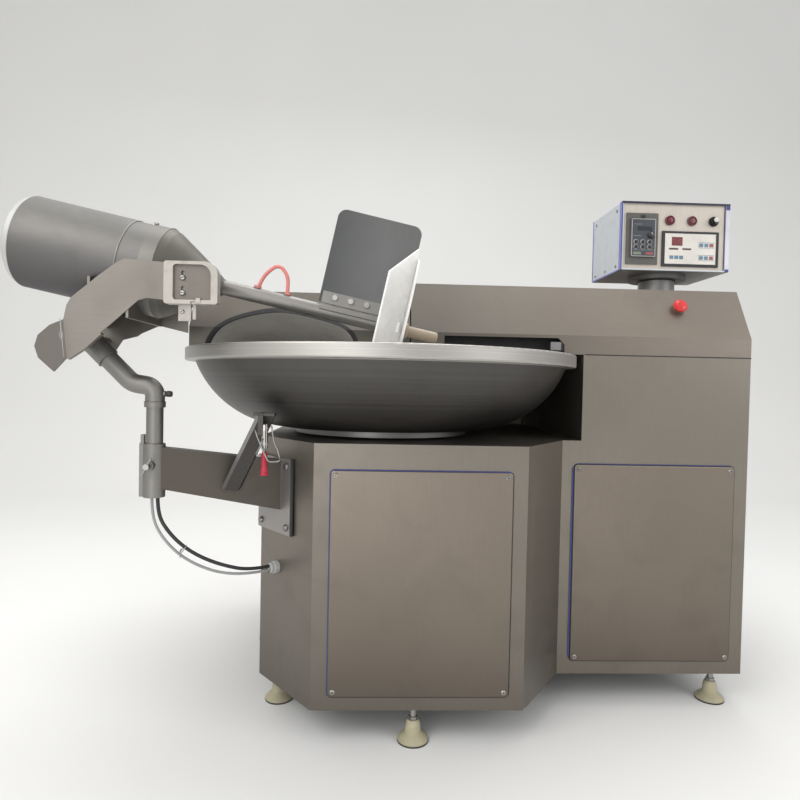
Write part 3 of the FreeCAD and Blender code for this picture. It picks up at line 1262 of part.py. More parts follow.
# Emergency stop on the slope of the hood
lean = math.hypot(slope_run, slope_rise)
slope_up = V(0, slope_run / lean, slope_rise / lean)
slope_out = V(0, -slope_rise / lean, slope_run / lean)
estop_point = V(estop_x, body_front, cover_lip) + slope_up * estop_up
hood = hood.cut(rod(11 + run_fit, estop_point - slope_out * 20, estop_point + slope_out))
estop_base = turned([(9 + run_fit, -8), (11, -8), (11, 0), (15, 0), (15, 5), (9 + run_fit, 5)],
                    estop_point, slope_out)
hood = union([hood, estop_base])
mushroom = [(0, -12), (9, -12), (9, 9), (13, 11), (20, 12), (20, 17), (17, 22), (9, 25), (0, 26)]
parts["estop_button"] = turned(mushroom, estop_point, slope_out)
parts["shaft_hood"] = hood

# Cable gland on the pedestal chamfer and the two hanging cables
gland_share = 0.655
gland_z = 418.0
gland_point = on_chamfer(gland_share, gland_z)
gland_profile = [(0, -10), (9, -10), (9, 0), (16, 0), (16, 12), (13, 13), (13, 22), (11, 26), (0, 26)]
parts["cable_gland"] = turned(gland_profile, gland_point, chamfer_out)
pedestal = pedestal.cut(rod(9 + run_fit, gland_point - chamfer_out * 20, gland_point + chamfer_out))
parts["pedestal_shell"] = pedestal
parts["cabinet_shell"] = cabinet

black_radius = 4.5
grey_radius = 3.5
gland_mouth = gland_point + chamfer_out * 26
black_route = [
    V(column_x + 9, column_y, sleeve_bottom), V(column_x + 9, column_y, 585), V(-524, -352, 541),
    V(-488, -345, 502), V(-446, -333, 472), V(-397, -313, 447),
    gland_mouth + chamfer_out * 58 + V(0, 0, 5), gland_mouth + V(0, 0, 5),
]
grey_route = [
    V(column_x - 3, column_y - 6, sleeve_bottom), V(column_x - 3, column_y - 6, 580),
    V(-537, -361, 531), V(-498, -354, 486), V(-452, -342, 454), V(-400, -320, 429),
    gland_mouth + chamfer_out * 58 - V(0, 0, 5), gland_mouth - V(0, 0, 5),
]
for name, points, radius in (("black_cable", black_route, black_radius),
                             ("grey_cable", grey_route, grey_radius)):
    radii = bend_radii(points)
    cable = tube(points, radii, radius)
    parts[name] = cable
    length = route(points, radii).Length
    print(name, "length", round(length, 1), "radii", [round(r, 1) for r in radii],
          "volume share", round(cable.Volume / (math.pi * radius ** 2 * length), 4))

# Screws of the service panels and the bolts of the bracket plate
screws = []
for box, face, across, outward in panel_sites.values():
    for spot in panel_screws(box, face, across):
        screws.append(screw(spot + outward * panel_proud, outward, grip=panel_proud + 8))
parts["fixing_screws"] = Part.makeCompound(screws + beam_bolts)

# Move the machine so that the floor point under the middle of its box is the origin
whole = Part.makeCompound(list(parts.values())).optimalBoundingBox()
shift = V(-(whole.XMin + whole.XMax) / 2, -(whole.YMin + whole.YMax) / 2, -whole.ZMin)
for name, shape in parts.items():
    shape.translate(shift)
    shape.exportStep("parts/" + name + ".step")
print("shift", round(shift.x, 4), round(shift.y, 4), round(shift.z, 4))
print("box", round(whole.XLength, 2), round(whole.YLength, 2), round(whole.ZLength, 2))
print("nodes", len(parts))
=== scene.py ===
import math

import bmesh
import bpy
from mathutils import Matrix, Vector


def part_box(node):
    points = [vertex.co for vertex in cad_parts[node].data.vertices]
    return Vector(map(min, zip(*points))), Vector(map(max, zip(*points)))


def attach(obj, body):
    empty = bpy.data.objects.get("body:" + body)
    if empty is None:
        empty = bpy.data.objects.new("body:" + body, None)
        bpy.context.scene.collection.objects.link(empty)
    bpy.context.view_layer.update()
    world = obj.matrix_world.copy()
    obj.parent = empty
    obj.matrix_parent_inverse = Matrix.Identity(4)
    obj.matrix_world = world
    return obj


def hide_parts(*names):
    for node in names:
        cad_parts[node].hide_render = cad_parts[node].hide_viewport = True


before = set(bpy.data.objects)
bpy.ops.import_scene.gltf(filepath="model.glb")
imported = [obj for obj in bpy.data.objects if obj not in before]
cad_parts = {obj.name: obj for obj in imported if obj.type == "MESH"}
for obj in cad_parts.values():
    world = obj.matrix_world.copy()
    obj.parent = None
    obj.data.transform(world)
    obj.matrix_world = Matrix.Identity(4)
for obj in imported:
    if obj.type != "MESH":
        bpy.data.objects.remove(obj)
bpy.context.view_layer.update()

# Places are written in millimetres from the bowl's axis at floor level
bowl_low, bowl_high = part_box("bowl")
AXIS_X = (bowl_low[0] + bowl_high[0]) / 2
AXIS_Y = (bowl_low[1] + bowl_high[1]) / 2


def at(x, y, z):
    return Vector((AXIS_X + x / 1000, AXIS_Y + y / 1000, z / 1000))


UP = Vector((0, 0, 1))
TO_FRONT = Vector((0, -1, 0))

# Camera in front of the bowl, a little left of its axis and just under rim height
YAW, PITCH, ROLL = 0.0391, 0.0254, 0.0206
forward = Vector((math.sin(YAW), math.cos(YAW), 0))
right = Vector((math.cos(YAW), -math.sin(YAW), 0))
look = math.cos(PITCH) * forward - math.sin(PITCH) * UP
lift = math.sin(PITCH) * forward + math.cos(PITCH) * UP
cam_x = math.cos(ROLL) * right + math.sin(ROLL) * lift
cam_y = math.cos(ROLL) * lift - math.sin(ROLL) * right
camera_data = bpy.data.cameras.new("front_camera")
camera_data.lens = 28.23
camera_data.sensor_width = 36
camera = bpy.data.objects.new("front_camera", camera_data)
camera_turn = Matrix((cam_x, cam_y, -look)).transposed().to_4x4()
camera.matrix_world = Matrix.Translation(at(-18.7, -1912, 916.8)) @ camera_turn
bpy.context.collection.objects.link(camera)
bpy.context.scene.camera = camera


# Shader groups shared by the finishes
def group(name, inputs, outputs):
    tree = bpy.data.node_groups.new(name, "ShaderNodeTree")
    for label, kind, value in inputs:
        socket = tree.interface.new_socket(label, in_out="INPUT", socket_type=kind)
        socket.default_value = value
    for label, kind in outputs:
        tree.interface.new_socket(label, in_out="OUTPUT", socket_type=kind)
    return tree, tree.nodes.new("NodeGroupInput"), tree.nodes.new("NodeGroupOutput")


def node(tree, kind, links=(), **values):
    made = tree.nodes.new(kind)
    for key, value in values.items():
        setattr(made, key, value)
    for socket, value in links:
        if isinstance(value, bpy.types.NodeSocket):
            tree.links.new(value, made.inputs[socket])
        else:
            made.inputs[socket].default_value = value
    return made


def ramp(tree, value, low, high, start=0.0, end=1.0):
    made = node(tree, "ShaderNodeMapRange", [(0, value), (1, low), (2, high), (3, start), (4, end)])
    return made.outputs[0]


def up_to(tree, value, most):
    """A mask from 0 to 1, held down to a highest share."""
    return ramp(tree, value, 0, 1, 0.0, most)


def tint(tree, share, first, second):
    return node(tree, "ShaderNodeMix", [(0, share), (6, first), (7, second)], data_type="RGBA").outputs[2]


def math_node(tree, how, first, second=0.0):
    return node(tree, "ShaderNodeMath", [(0, first), (1, second)], operation=how).outputs[0]


def axis_part(tree, vector, axis):
    return node(tree, "ShaderNodeSeparateXYZ", [(0, vector)]).outputs[axis]


def object_place(tree):
    return node(tree, "ShaderNodeTexCoord").outputs["Object"]


def face_direction(tree):
    return node(tree, "ShaderNodeTexCoord").outputs["Normal"]


def brushed_grain_group():
    tree, start, end = group("brushed_grain", [
        ("Stretch", "NodeSocketVector", (4, 4, 90)), ("Fineness", "NodeSocketFloat", 30.0),
    ], [("Grain", "NodeSocketFloat"), ("Streak", "NodeSocketFloat")])
    place = object_place(tree)
    drawn = node(tree, "ShaderNodeVectorMath", [(0, place), (1, start.outputs[0])],
                 operation="MULTIPLY").outputs[0]
    fine = node(tree, "ShaderNodeTexNoise", [
        ("Vector", drawn), ("Scale", start.outputs[1]), ("Detail", 5.0), ("Roughness", 0.65)])
    broad_scale = math_node(tree, "MULTIPLY", start.outputs[1], 0.12)
    broad = node(tree, "ShaderNodeTexNoise", [("Vector", drawn), ("Scale", broad_scale), ("Detail", 3.0)])
    tree.links.new(ramp(tree, fine.outputs[0], 0.3, 0.7), end.inputs[0])
    tree.links.new(ramp(tree, broad.outputs[0], 0.32, 0.68), end.inputs[1])
    return tree


def handling_group():
    tree, start, end = group("handling_marks", [("Size", "NodeSocketFloat", 2.2)], [
        ("Tone", "NodeSocketFloat"), ("Smudge", "NodeSocketFloat"), ("Speck", "NodeSocketFloat"),
    ])
    place = object_place(tree)
    tone = node(tree, "ShaderNodeTexNoise", [("Vector", place), ("Scale", start.outputs[0]), ("Detail", 2.0)])
    wipe_scale = math_node(tree, "MULTIPLY", start.outputs[0], 4.5)
    wipe = node(tree, "ShaderNodeTexNoise", [
        ("Vector", place), ("Scale", wipe_scale), ("Detail", 6.0), ("Distortion", 0.7)])
    speck = node(tree, "ShaderNodeTexNoise", [("Vector", place), ("Scale", 420.0), ("Detail", 2.0)])
    tree.links.new(ramp(tree, tone.outputs[0], 0.3, 0.7), end.inputs[0])
    tree.links.new(ramp(tree, wipe.outputs[0], 0.5, 0.74), end.inputs[1])
    tree.links.new(ramp(tree, speck.outputs[0], 0.6, 0.78), end.inputs[2])
    return tree


def turned_rings_group():
    """Rings round the bowl's axis, which run on down a wall."""
    tree, start, end = group("turned_rings", [("Lines", "NodeSocketFloat", 420.0)], [
        ("Rings", "NodeSocketFloat"), ("Bands", "NodeSocketFloat"), ("Height", "NodeSocketFloat"),
    ])
    place = object_place(tree)
    from_axis = node(tree, "ShaderNodeVectorMath", [(0, place), (1, (AXIS_X, AXIS_Y, 0))],
                     operation="SUBTRACT").outputs[0]
    parts = node(tree, "ShaderNodeSeparateXYZ", [(0, from_axis)]).outputs
    flat = node(tree, "ShaderNodeCombineXYZ", [(0, parts[0]), (1, parts[1])]).outputs[0]
    radius = node(tree, "ShaderNodeVectorMath", [(0, flat)], operation="LENGTH").outputs[1]
    along = math_node(tree, "ADD", radius, parts[2])
    fine = node(tree, "ShaderNodeTexNoise", [("W", along), ("Scale", start.outputs[0]), ("Detail", 4.0)],
                noise_dimensions="1D")
    wide_scale = math_node(tree, "MULTIPLY", start.outputs[0], 0.13)
    wide = node(tree, "ShaderNodeTexNoise", [("W", along), ("Scale", wide_scale), ("Detail", 2.0)],
                noise_dimensions="1D")
    tree.links.new(ramp(tree, fine.outputs[0], 0.32, 0.68), end.inputs[0])
    tree.links.new(ramp(tree, wide.outputs[0], 0.3, 0.7), end.inputs[1])
    tree.links.new(parts[2], end.inputs[2])
    return tree


def level_mask_group():
    """0 to 1 between two places along an axis."""
    tree, start, end = group("level_mask", [
        ("From", "NodeSocketFloat", 0.0), ("To", "NodeSocketFloat", 1.0), ("Axis", "NodeSocketVector", (0, 0, 1)),
    ], [("Above", "NodeSocketFloat")])
    place = object_place(tree)
    along = node(tree, "ShaderNodeVectorMath", [(0, place), (1, start.outputs[2])],
                 operation="DOT_PRODUCT").outputs[1]
    tree.links.new(ramp(tree, along, start.outputs[0], start.outputs[1]), end.inputs[0])
    return tree


GRAIN = brushed_grain_group()
MARKS = handling_group()
RINGS = turned_rings_group()
LEVEL = level_mask_group()


def placed(tree, shared, **values):
    made = tree.nodes.new("ShaderNodeGroup")
    made.node_tree = shared
    for key, value in values.items():
        made.inputs[key].default_value = value
    return made.outputs


def colour(*rgb):
    return (*rgb, 1.0)


def shade(rgb, share):
    return colour(*(c * share for c in rgb))


def new_finish(name, metallic=0.0, **plain):
    material = bpy.data.materials.new(name)
    material.use_nodes = True
    tree = material.node_tree
    shader = tree.nodes["Principled BSDF"]
    shader.inputs["Metallic"].default_value = metallic
    for key, value in plain.items():
        shader.inputs[key.replace("_", " ")].default_value = value
    return material, tree, shader


def set_colour(tree, shader, value):
    tree.links.new(value, shader.inputs["Base Color"])


def set_bump(tree, shader, height, strength, distance):
    bump = node(tree, "ShaderNodeBump", [("Strength", strength), ("Distance", distance), ("Height", height)])
    tree.links.new(bump.outputs[0], shader.inputs["Normal"])


def sheet_steel(name, rgb, stretch, rough=0.4, painted_foot_shade=0.0, fineness=30.0):
    """Brushed sheet: fine grain, broad streaks, wiped patches and painted shade that darkens its foot."""
    material, tree, shader = new_finish(name, 0.88)
    grain = placed(tree, GRAIN, Stretch=stretch, Fineness=fineness)
    marks = placed(tree, MARKS, Size=1.7)
    body = tint(tree, marks["Tone"], shade(rgb, 0.88), shade(rgb, 1.1))
    body = tint(tree, up_to(tree, grain["Streak"], 0.2), body, shade(rgb, 0.76))
    body = tint(tree, up_to(tree, grain["Grain"], 0.18), body, shade(rgb, 1.34))
    body = tint(tree, up_to(tree, marks["Smudge"], 0.22), body, shade(rgb, 0.7))
    # Painted shade: the sheet darkens towards the floor, where less light falls.
    if painted_foot_shade:
        above = placed(tree, LEVEL, From=0.06, To=0.68)["Above"]
        body = tint(tree, ramp(tree, above, 0, 1, painted_foot_shade, 0.0), body, shade(rgb, 0.36))
    set_colour(tree, shader, body)
    worn = math_node(tree, "ADD", ramp(tree, grain["Grain"], 0, 1, rough - 0.06, rough + 0.08),
                     up_to(tree, marks["Smudge"], 0.12))
    tree.links.new(worn, shader.inputs["Roughness"])
    set_bump(tree, shader, grain["Grain"], 0.12, 0.0006)
    return material


def tone_below(material, axis, edge, rgb, soft=0.0003):
    """Another tone on the low side of a plane across the axis, with a sharp or a soft change."""
    tree = material.node_tree
    shader = tree.nodes["Principled BSDF"]
    above = placed(tree, LEVEL, Axis=tuple(axis), From=edge - soft, To=edge + soft)["Above"]
    body = shader.inputs["Base Color"].links[0].from_socket
    marks = placed(tree, MARKS, Size=5.0)
    low = tint(tree, marks["Tone"], shade(rgb, 0.92), shade(rgb, 1.06))
    set_colour(tree, shader, tint(tree, above, low, body))


def paint_light_on_left_faces(material, rgb):
    """Painted light: another tone on the faces that look to the left, standing in for how light falls on them."""
    tree = material.node_tree
    shader = tree.nodes["Principled BSDF"]
    share = ramp(tree, axis_part(tree, face_direction(tree), 0), -0.5, -0.35)
    body = shader.inputs["Base Color"].links[0].from_socket
    set_colour(tree, shader, tint(tree, share, colour(*rgb), body))


def round_steel(name, rgb, rough):
    """Turned or spun steel with rings round the bowl's axis."""
    material, tree, shader = new_finish(name, 0.95)
    rings = placed(tree, RINGS)
    marks = placed(tree, MARKS, Size=4.0)
    body = tint(tree, rings["Rings"], shade(rgb, 0.8), shade(rgb, 1.18))
    body = tint(tree, up_to(tree, marks["Smudge"], 0.3), body, shade(rgb, 0.6))
    set_colour(tree, shader, body)
    tree.links.new(ramp(tree, rings["Bands"], 0, 1, rough, rough + 0.12), shader.inputs["Roughness"])
    set_bump(tree, shader, rings["Rings"], 0.15, 0.0005)
    return material


def bowl_finish():
    """Turned trough: dark rings outside, with painted light on the upper outer wall and painted shade on its lower
    part, polished inside and a bright rolled rim.
    """
    rgb = (0.057, 0.0535, 0.049)
    rim_foot = 0.97
    material, tree, shader = new_finish("bowl_turned_steel", 0.9)
    rings = placed(tree, RINGS, Lines=520.0)
    marks = placed(tree, MARKS, Size=2.6)
    body = tint(tree, rings["Bands"], shade(rgb, 0.8), shade(rgb, 1.25))
    body = tint(tree, up_to(tree, rings["Rings"], 0.5), body, shade(rgb, 1.7))
    body = tint(tree, up_to(tree, marks["Smudge"], 0.35), body, shade(rgb, 0.55))
    # Painted light lifts the upper outer wall; painted shade darkens its lower part above the seat.
    painted_light_upper = ramp(tree, rings["Height"], 0.84, 0.95, 0.0, 0.55)
    body = tint(tree, painted_light_upper, body, colour(0.112, 0.108, 0.104))
    painted_shade_low = ramp(tree, rings["Height"], 0.79, 0.90, 0.5, 0.0)
    body = tint(tree, painted_shade_low, body, colour(0.03, 0.028, 0.026))
    inside = ramp(tree, axis_part(tree, face_direction(tree), 2), 0.0, 0.06)
    polished = tint(tree, rings["Rings"], colour(0.46, 0.45, 0.43), colour(0.58, 0.57, 0.55))
    body = tint(tree, inside, body, polished)
    rim = ramp(tree, rings["Height"], rim_foot - 0.0015, rim_foot + 0.0015)
    rim_colour = tint(tree, rings["Rings"], colour(0.38, 0.365, 0.345), colour(0.50, 0.485, 0.46))
    body = tint(tree, rim, body, rim_colour)
    set_colour(tree, shader, body)
    tree.links.new(ramp(tree, rings["Rings"], 0, 1, 0.36, 0.5), shader.inputs["Roughness"])
    set_bump(tree, shader, rings["Rings"], 0.25, 0.0006)
    return material


def plane_finish(name, plane_rgb, other_rgb, plane_y, metallic):
    """Sheet whose recessed face, at one depth, differs from its bright folded edges."""
    material, tree, shader = new_finish(name, metallic)
    depth = axis_part(tree, object_place(tree), 1)
    away = math_node(tree, "ABSOLUTE", math_node(tree, "SUBTRACT", depth, at(0, plane_y, 0).y))
    beside = ramp(tree, away, 0.0006, 0.0009)
    grain = placed(tree, GRAIN, Stretch=(50, 50, 5), Fineness=30.0)
    marks = placed(tree, MARKS, Size=6.0)
    plane = tint(tree, grain["Streak"], shade(plane_rgb, 0.97), shade(plane_rgb, 1.03))
    other = tint(tree, grain["Streak"], shade(other_rgb, 0.96), shade(other_rgb, 1.03))
    body = tint(tree, beside, plane, other)
    body = tint(tree, up_to(tree, marks["Smudge"], 0.25), body, shade(plane_rgb, 0.8))
    set_colour(tree, shader, body)
    tree.links.new(ramp(tree, grain["Grain"], 0, 1, 0.37, 0.52), shader.inputs["Roughness"])
    set_bump(tree, shader, grain["Grain"], 0.1, 0.0005)
    return material


def moulded(name, rgb, rough=0.4, metallic=0.0, grain=0.1, coat=0.0):
    """Moulded plastic, rubber or paint: mottled tone, specks and a fine skin."""
    material, tree, shader = new_finish(name, metallic, Coat_Weight=coat)
    marks = placed(tree, MARKS, Size=9.0)
    body = tint(tree, marks["Tone"], shade(rgb, 0.9), shade(rgb, 1.08))
    body = tint(tree, up_to(tree, marks["Smudge"], 0.35), body, shade(rgb, 0.72))
    body = tint(tree, up_to(tree, marks["Speck"], 0.3), body, shade(rgb, 1.3))
    set_colour(tree, shader, body)
    tree.links.new(ramp(tree, marks["Smudge"], 0, 1, rough, rough + 0.15), shader.inputs["Roughness"])
    set_bump(tree, shader, marks["Speck"], grain, 0.0004)
    return material


def glowing(name, rgb, light):
    """Lit display digits."""
    material, tree, shader = new_finish(name, 0.0, Emission_Strength=light)
    marks = placed(tree, MARKS, Size=60.0)
    body = tint(tree, marks["Tone"], shade(rgb, 0.75), shade(rgb, 1.0))
    set_colour(tree, shader, body)
    tree.links.new(body, shader.inputs["Emission Color"])
    tree.links.new(ramp(tree, marks["Tone"], 0, 1, 0.25, 0.4), shader.inputs["Roughness"])
    return material


def grip_and_lever(name, grip_rgb, lever_rgb, height):
    """Handle of two stuffs that meet at a height: a plastic grip under a steel lever."""
    material, tree, shader = new_finish(name)
    above = placed(tree, LEVEL, From=height - 0.0004, To=height + 0.0004)["Above"]
    grain = placed(tree, GRAIN, Stretch=(60, 60, 8), Fineness=30.0)
    marks = placed(tree, MARKS, Size=12.0)
    grip = tint(tree, marks["Tone"], shade(grip_rgb, 0.85), shade(grip_rgb, 1.1))
    lever = tint(tree, grain["Grain"], shade(lever_rgb, 0.8), shade(lever_rgb, 1.15))
    set_colour(tree, shader, tint(tree, above, grip, lever))
    tree.links.new(up_to(tree, above, 0.9), shader.inputs["Metallic"])
    tree.links.new(ramp(tree, above, 0, 1, 0.35, 0.3), shader.inputs["Roughness"])
    set_bump(tree, shader, grain["Grain"], 0.08, 0.0004)
    return material


# Finishes: the grain of a sheet runs level or upright
LEVELLED = (5, 60, 60)
UPRIGHT = (60, 60, 4)
GRIP_RED = (0.42, 0.012, 0.04)
BOX_FACE_Y = -35.0
MOUNT_FACE_Y = -483.0
# The last number given to the pedestal, panel and cabinet sheets is painted shade that darkens them towards the
# floor.
pedestal_steel = sheet_steel("pedestal_steel", (0.242, 0.217, 0.187), UPRIGHT, 0.42, 0.6)
panel_steel = sheet_steel("panel_steel", (0.262, 0.223, 0.185), UPRIGHT, 0.36, 0.85)
cover_steel = sheet_steel("cover_steel", (0.262, 0.229, 0.196), LEVELLED, 0.4)
cabinet_steel = sheet_steel("cabinet_steel", (0.26, 0.232, 0.197), UPRIGHT, 0.41, 0.6)
cone_steel = sheet_steel("cone_steel", (0.135, 0.130, 0.112), LEVELLED, 0.5)
# Strut: its dark tone is partly its own and partly painted shade on the web; its faces looking left get painted
# light.
strut_lit_and_shaded_steel = sheet_steel("strut_lit_and_shaded_steel", (0.075, 0.070, 0.066), LEVELLED, 0.45)
paint_light_on_left_faces(strut_lit_and_shaded_steel, (0.34, 0.335, 0.325))
fixing_steel = moulded("fixing_steel", (0.34, 0.33, 0.31), 0.28, 0.95, 0.05)
arm_steel = sheet_steel("arm_steel", (0.225, 0.208, 0.187), LEVELLED, 0.48)
motor_steel = sheet_steel("motor_steel", (0.215, 0.209, 0.198), LEVELLED, 0.52)
frame_steel = sheet_steel("frame_steel", (0.16, 0.15, 0.135), LEVELLED, 0.5)
tube_steel = sheet_steel("tube_steel", (0.245, 0.237, 0.223), (70, 70, 12), 0.48)
beam_steel = sheet_steel("beam_steel", (0.122, 0.108, 0.093), LEVELLED, 0.45)
box_steel = plane_finish("box_steel", (0.55, 0.50, 0.44), (0.60, 0.64, 0.68), BOX_FACE_Y, 0.25)
mount_steel = plane_finish("mount_steel", (0.165, 0.147, 0.128), (0.40, 0.375, 0.34), MOUNT_FACE_Y, 0.35)
# Tunnel roof: a pale matte tone, painted light standing in for the light that does not reach under the lid.
roof_painted_light = moulded("roof_painted_light", (0.72, 0.70, 0.66), 0.6, 0.0, 0.05)
post_steel = sheet_steel("post_steel", (0.27, 0.265, 0.255), UPRIGHT, 0.45)
baffle_steel = sheet_steel("baffle_steel", (0.160, 0.160, 0.160), UPRIGHT, 0.4)
fastener_steel = moulded("fastener_steel", (0.34, 0.33, 0.31), 0.28, 0.95, 0.05)
blade_steel = sheet_steel("blade_steel", (0.45, 0.45, 0.45), (20, 60, 60), 0.22, fineness=40.0)
hub_steel = round_steel("hub_steel", (0.34, 0.33, 0.32), 0.26)
table_steel = round_steel("table_steel", (0.33, 0.32, 0.31), 0.42)
cast_paint = moulded("cast_paint", (0.10, 0.13, 0.16), 0.5, 0.0, 0.3)
white_polymer = moulded("white_polymer", (0.95, 0.945, 0.93), 0.5, 0.0, 0.05)
disc_polymer = moulded("disc_polymer", (0.70, 0.69, 0.67), 0.38, 0.0, 0.05)
nose_finish = moulded("nose_finish", (0.52, 0.42, 0.31), 0.42, 0.0, 0.1)
loop_polymer = moulded("loop_coating", (0.62, 0.20, 0.18), 0.42, 0.0, 0.08)
stop_red = moulded("stop_red", (0.62, 0.02, 0.02), 0.3, 0.0, 0.04, 0.3)
lamp_crimson = moulded("lamp_crimson", (0.16, 0.012, 0.03), 0.25, 0.0, 0.03, 0.3)
lamp_brown = moulded("lamp_brown", (0.15, 0.045, 0.05), 0.3, 0.0, 0.03, 0.2)
black_satin = moulded("black_satin", (0.018, 0.018, 0.02), 0.42, 0.0, 0.12)
seal_rubber = moulded("seal_rubber", (0.022, 0.022, 0.023), 0.62, 0.0, 0.2)
foot_cream = moulded("foot_cream", (0.40, 0.37, 0.25), 0.5, 0.0, 0.1)
gland_grey = moulded("gland_grey", (0.40, 0.40, 0.39), 0.45, 0.0, 0.1)
cable_black = moulded("cable_black", (0.02, 0.02, 0.021), 0.45, 0.0, 0.15)
cable_grey = moulded("cable_grey", (0.30, 0.30, 0.30), 0.5, 0.0, 0.15)
film_blue = moulded("film_blue", (0.035, 0.05, 0.22), 0.35, 0.0, 0.05)
film_violet = moulded("film_violet", (0.20, 0.21, 0.52), 0.4, 0.0, 0.05)
film_pale = moulded("film_pale", (0.62, 0.63, 0.70), 0.4, 0.0, 0.05)
film_dark = moulded("film_dark", (0.014, 0.014, 0.035), 0.4, 0.0, 0.05)
window_white = moulded("window_white", (0.70, 0.67, 0.62), 0.35, 0.0, 0.03)
key_blue = moulded("key_blue", (0.12, 0.22, 0.30), 0.35)
key_red = moulded("key_red", (0.30, 0.09, 0.10), 0.35)
key_green = moulded("key_green", (0.20, 0.25, 0.18), 0.35)
slot_brown = moulded("slot_brown", (0.085, 0.04, 0.036), 0.4)
glass_dark = moulded("glass_dark", (0.15, 0.035, 0.042), 0.2, 0.0, 0.01, 0.3)
screen_grey = moulded("screen_grey", (0.018, 0.021, 0.028), 0.2, 0.0, 0.01, 0.3)
lit_red = glowing("lit_red", (0.42, 0.05, 0.05), 0.1)
weld_steel = moulded("weld_steel", (0.21, 0.195, 0.175), 0.4, 0.85, 0.4)
handle_finish = grip_and_lever("toggle_handle", GRIP_RED, (0.42, 0.41, 0.40), 0.7505)
grip_red = moulded("grip_red", GRIP_RED, 0.35, 0.0, 0.05)
wiper_steel = moulded("wiper_steel", (0.26, 0.26, 0.255), 0.35, 0.4, 0.05)
key_rim = moulded("key_rim", (0.42, 0.42, 0.42), 0.35, 0.3)
unit_grey = moulded("unit_grey", (0.05, 0.057, 0.068), 0.4)
frame_grey = moulded("frame_grey", (0.10, 0.097, 0.09), 0.5)
bowl_steel = bowl_finish()

# Second tones: the frame round the membrane; painted shade on the control box's underside, and on the covers and the
# baffle towards the left
BETWEEN_FRAMES_X = AXIS_X + 0.83
BOX_UNDERSIDE_Z = 1.2765
tone_below(frame_grey, (-1, 0, 0), -BETWEEN_FRAMES_X, (0.022, 0.022, 0.024))
tone_below(box_steel, UP, BOX_UNDERSIDE_Z, (0.17, 0.165, 0.16))
tone_below(cover_steel, (1, 0, 0), AXIS_X + 0.44, (0.152, 0.139, 0.121), 0.26)
tone_below(baffle_steel, (1, 0, 0), AXIS_X - 0.08, (0.078, 0.079, 0.081), 0.08)


# CAD nodes keep their shape and get their finish
def dress(material, *names):
    for name in names:
        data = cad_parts[name].data
        data.materials.clear()
        data.materials.append(material)


dress(pedestal_steel, "pedestal_shell")
dress(post_steel, "control_post")
dress(roof_painted_light, "tunnel_roof")
dress(cabinet_steel, "cabinet_shell")
dress(cover_steel, "shaft_hood", "lid_shell", "rear_housing")
dress(panel_steel, "front_panel", "cabinet_panel", "side_panels")
dress(frame_steel, "base_frame", "spindle_housing")
dress(beam_steel, "support_beam")
dress(strut_lit_and_shaded_steel, "latch_strut")
dress(tube_steel, "column_tube", "column_sleeve", "elbow_arm", "unloader_pipe")
dress(arm_steel, "arm_shell")
dress(cone_steel, "reducer_cone")
dress(mount_steel, "mount_box")
dress(motor_steel, "unloader_motor")
dress(baffle_steel, "baffle_plate")
dress(box_steel, "control_box")
dress(fixing_steel, "fixing_screws")
dress(fastener_steel, "unloader_bolts", "clamp_screw", "tilt_pin", "hinge_pins", "foot_stems", "bearings")
dress(blade_steel, "knife_blades")
dress(hub_steel, "hub_cap", "knife_clamps", "knife_shaft")
dress(table_steel, "turntable")
dress(bowl_steel, "bowl")
dress(cast_paint, "bearing_housing", "bowl_gearmotor", "knife_motor", "motor_pulley", "shaft_pulley")
dress(white_polymer, "scraper_wing")
dress(disc_polymer, "discharge_disc")
dress(nose_finish, "disc_shaft")
dress(loop_polymer, "lift_loop")
dress(stop_red, "estop_button")
dress(lamp_crimson, "start_button")
dress(lamp_brown, "stop_button")
dress(black_satin, "selector_knob", "knob_screw")
dress(frame_grey, "control_panels")
dress(seal_rubber, "arch_seal", "hood_flap", "bowl_wiper", "v_belts")
dress(foot_cream, "foot_pads")
dress(gland_grey, "cable_gland")
dress(handle_finish, "clamp_handle")


# Shapes
def settle(obj, material, body):
    obj.data.materials.append(material)
    bpy.context.scene.collection.objects.link(obj)
    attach(obj, body)


def mesh_piece(name, bm, material, body, smooth=True, bevel=0.0):
    bmesh.ops.recalc_face_normals(bm, faces=bm.faces)
    mesh = bpy.data.meshes.new(name)
    bm.to_mesh(mesh)
    bm.free()
    for polygon in mesh.polygons:
        polygon.use_smooth = smooth
    obj = bpy.data.objects.new(name, mesh)
    if bevel:
        edge = obj.modifiers.new("rounded_edges", "BEVEL")
        edge.width = bevel
        edge.segments = 3
        edge.limit_method = "ANGLE"
    settle(obj, material, body)


def block_piece(name, blocks, material, body, bevel=0.0):
    """Boxes between pairs of corners, in millimetres from the bowl's axis."""
    bm = bmesh.new()
    for low, high in blocks:
        a, b = at(*low), at(*high)
        size = b - a
        place = Matrix.Translation((a + b) / 2) @ Matrix.Diagonal((abs(size.x), abs(size.y), abs(size.z), 1))
        bmesh.ops.create_cube(bm, size=1.0, matrix=place)
    mesh_piece(name, bm, material, body, smooth=False, bevel=bevel)


def rod_piece(name, ends, radius, material, body, steps=24, smooth=True, bevel=0.0):
    """Round or many-sided rods between pairs of points."""
    bm = bmesh.new()
    for start, end in ends:
        axis = end - start
        turn = UP.rotation_difference(axis).to_matrix().to_4x4()
        place = Matrix.Translation((start + end) / 2) @ turn
        bmesh.ops.create_cone(bm, cap_ends=True, segments=steps, radius1=radius, radius2=radius,
                              depth=axis.length, matrix=place)
    mesh_piece(name, bm, material, body, smooth, bevel)


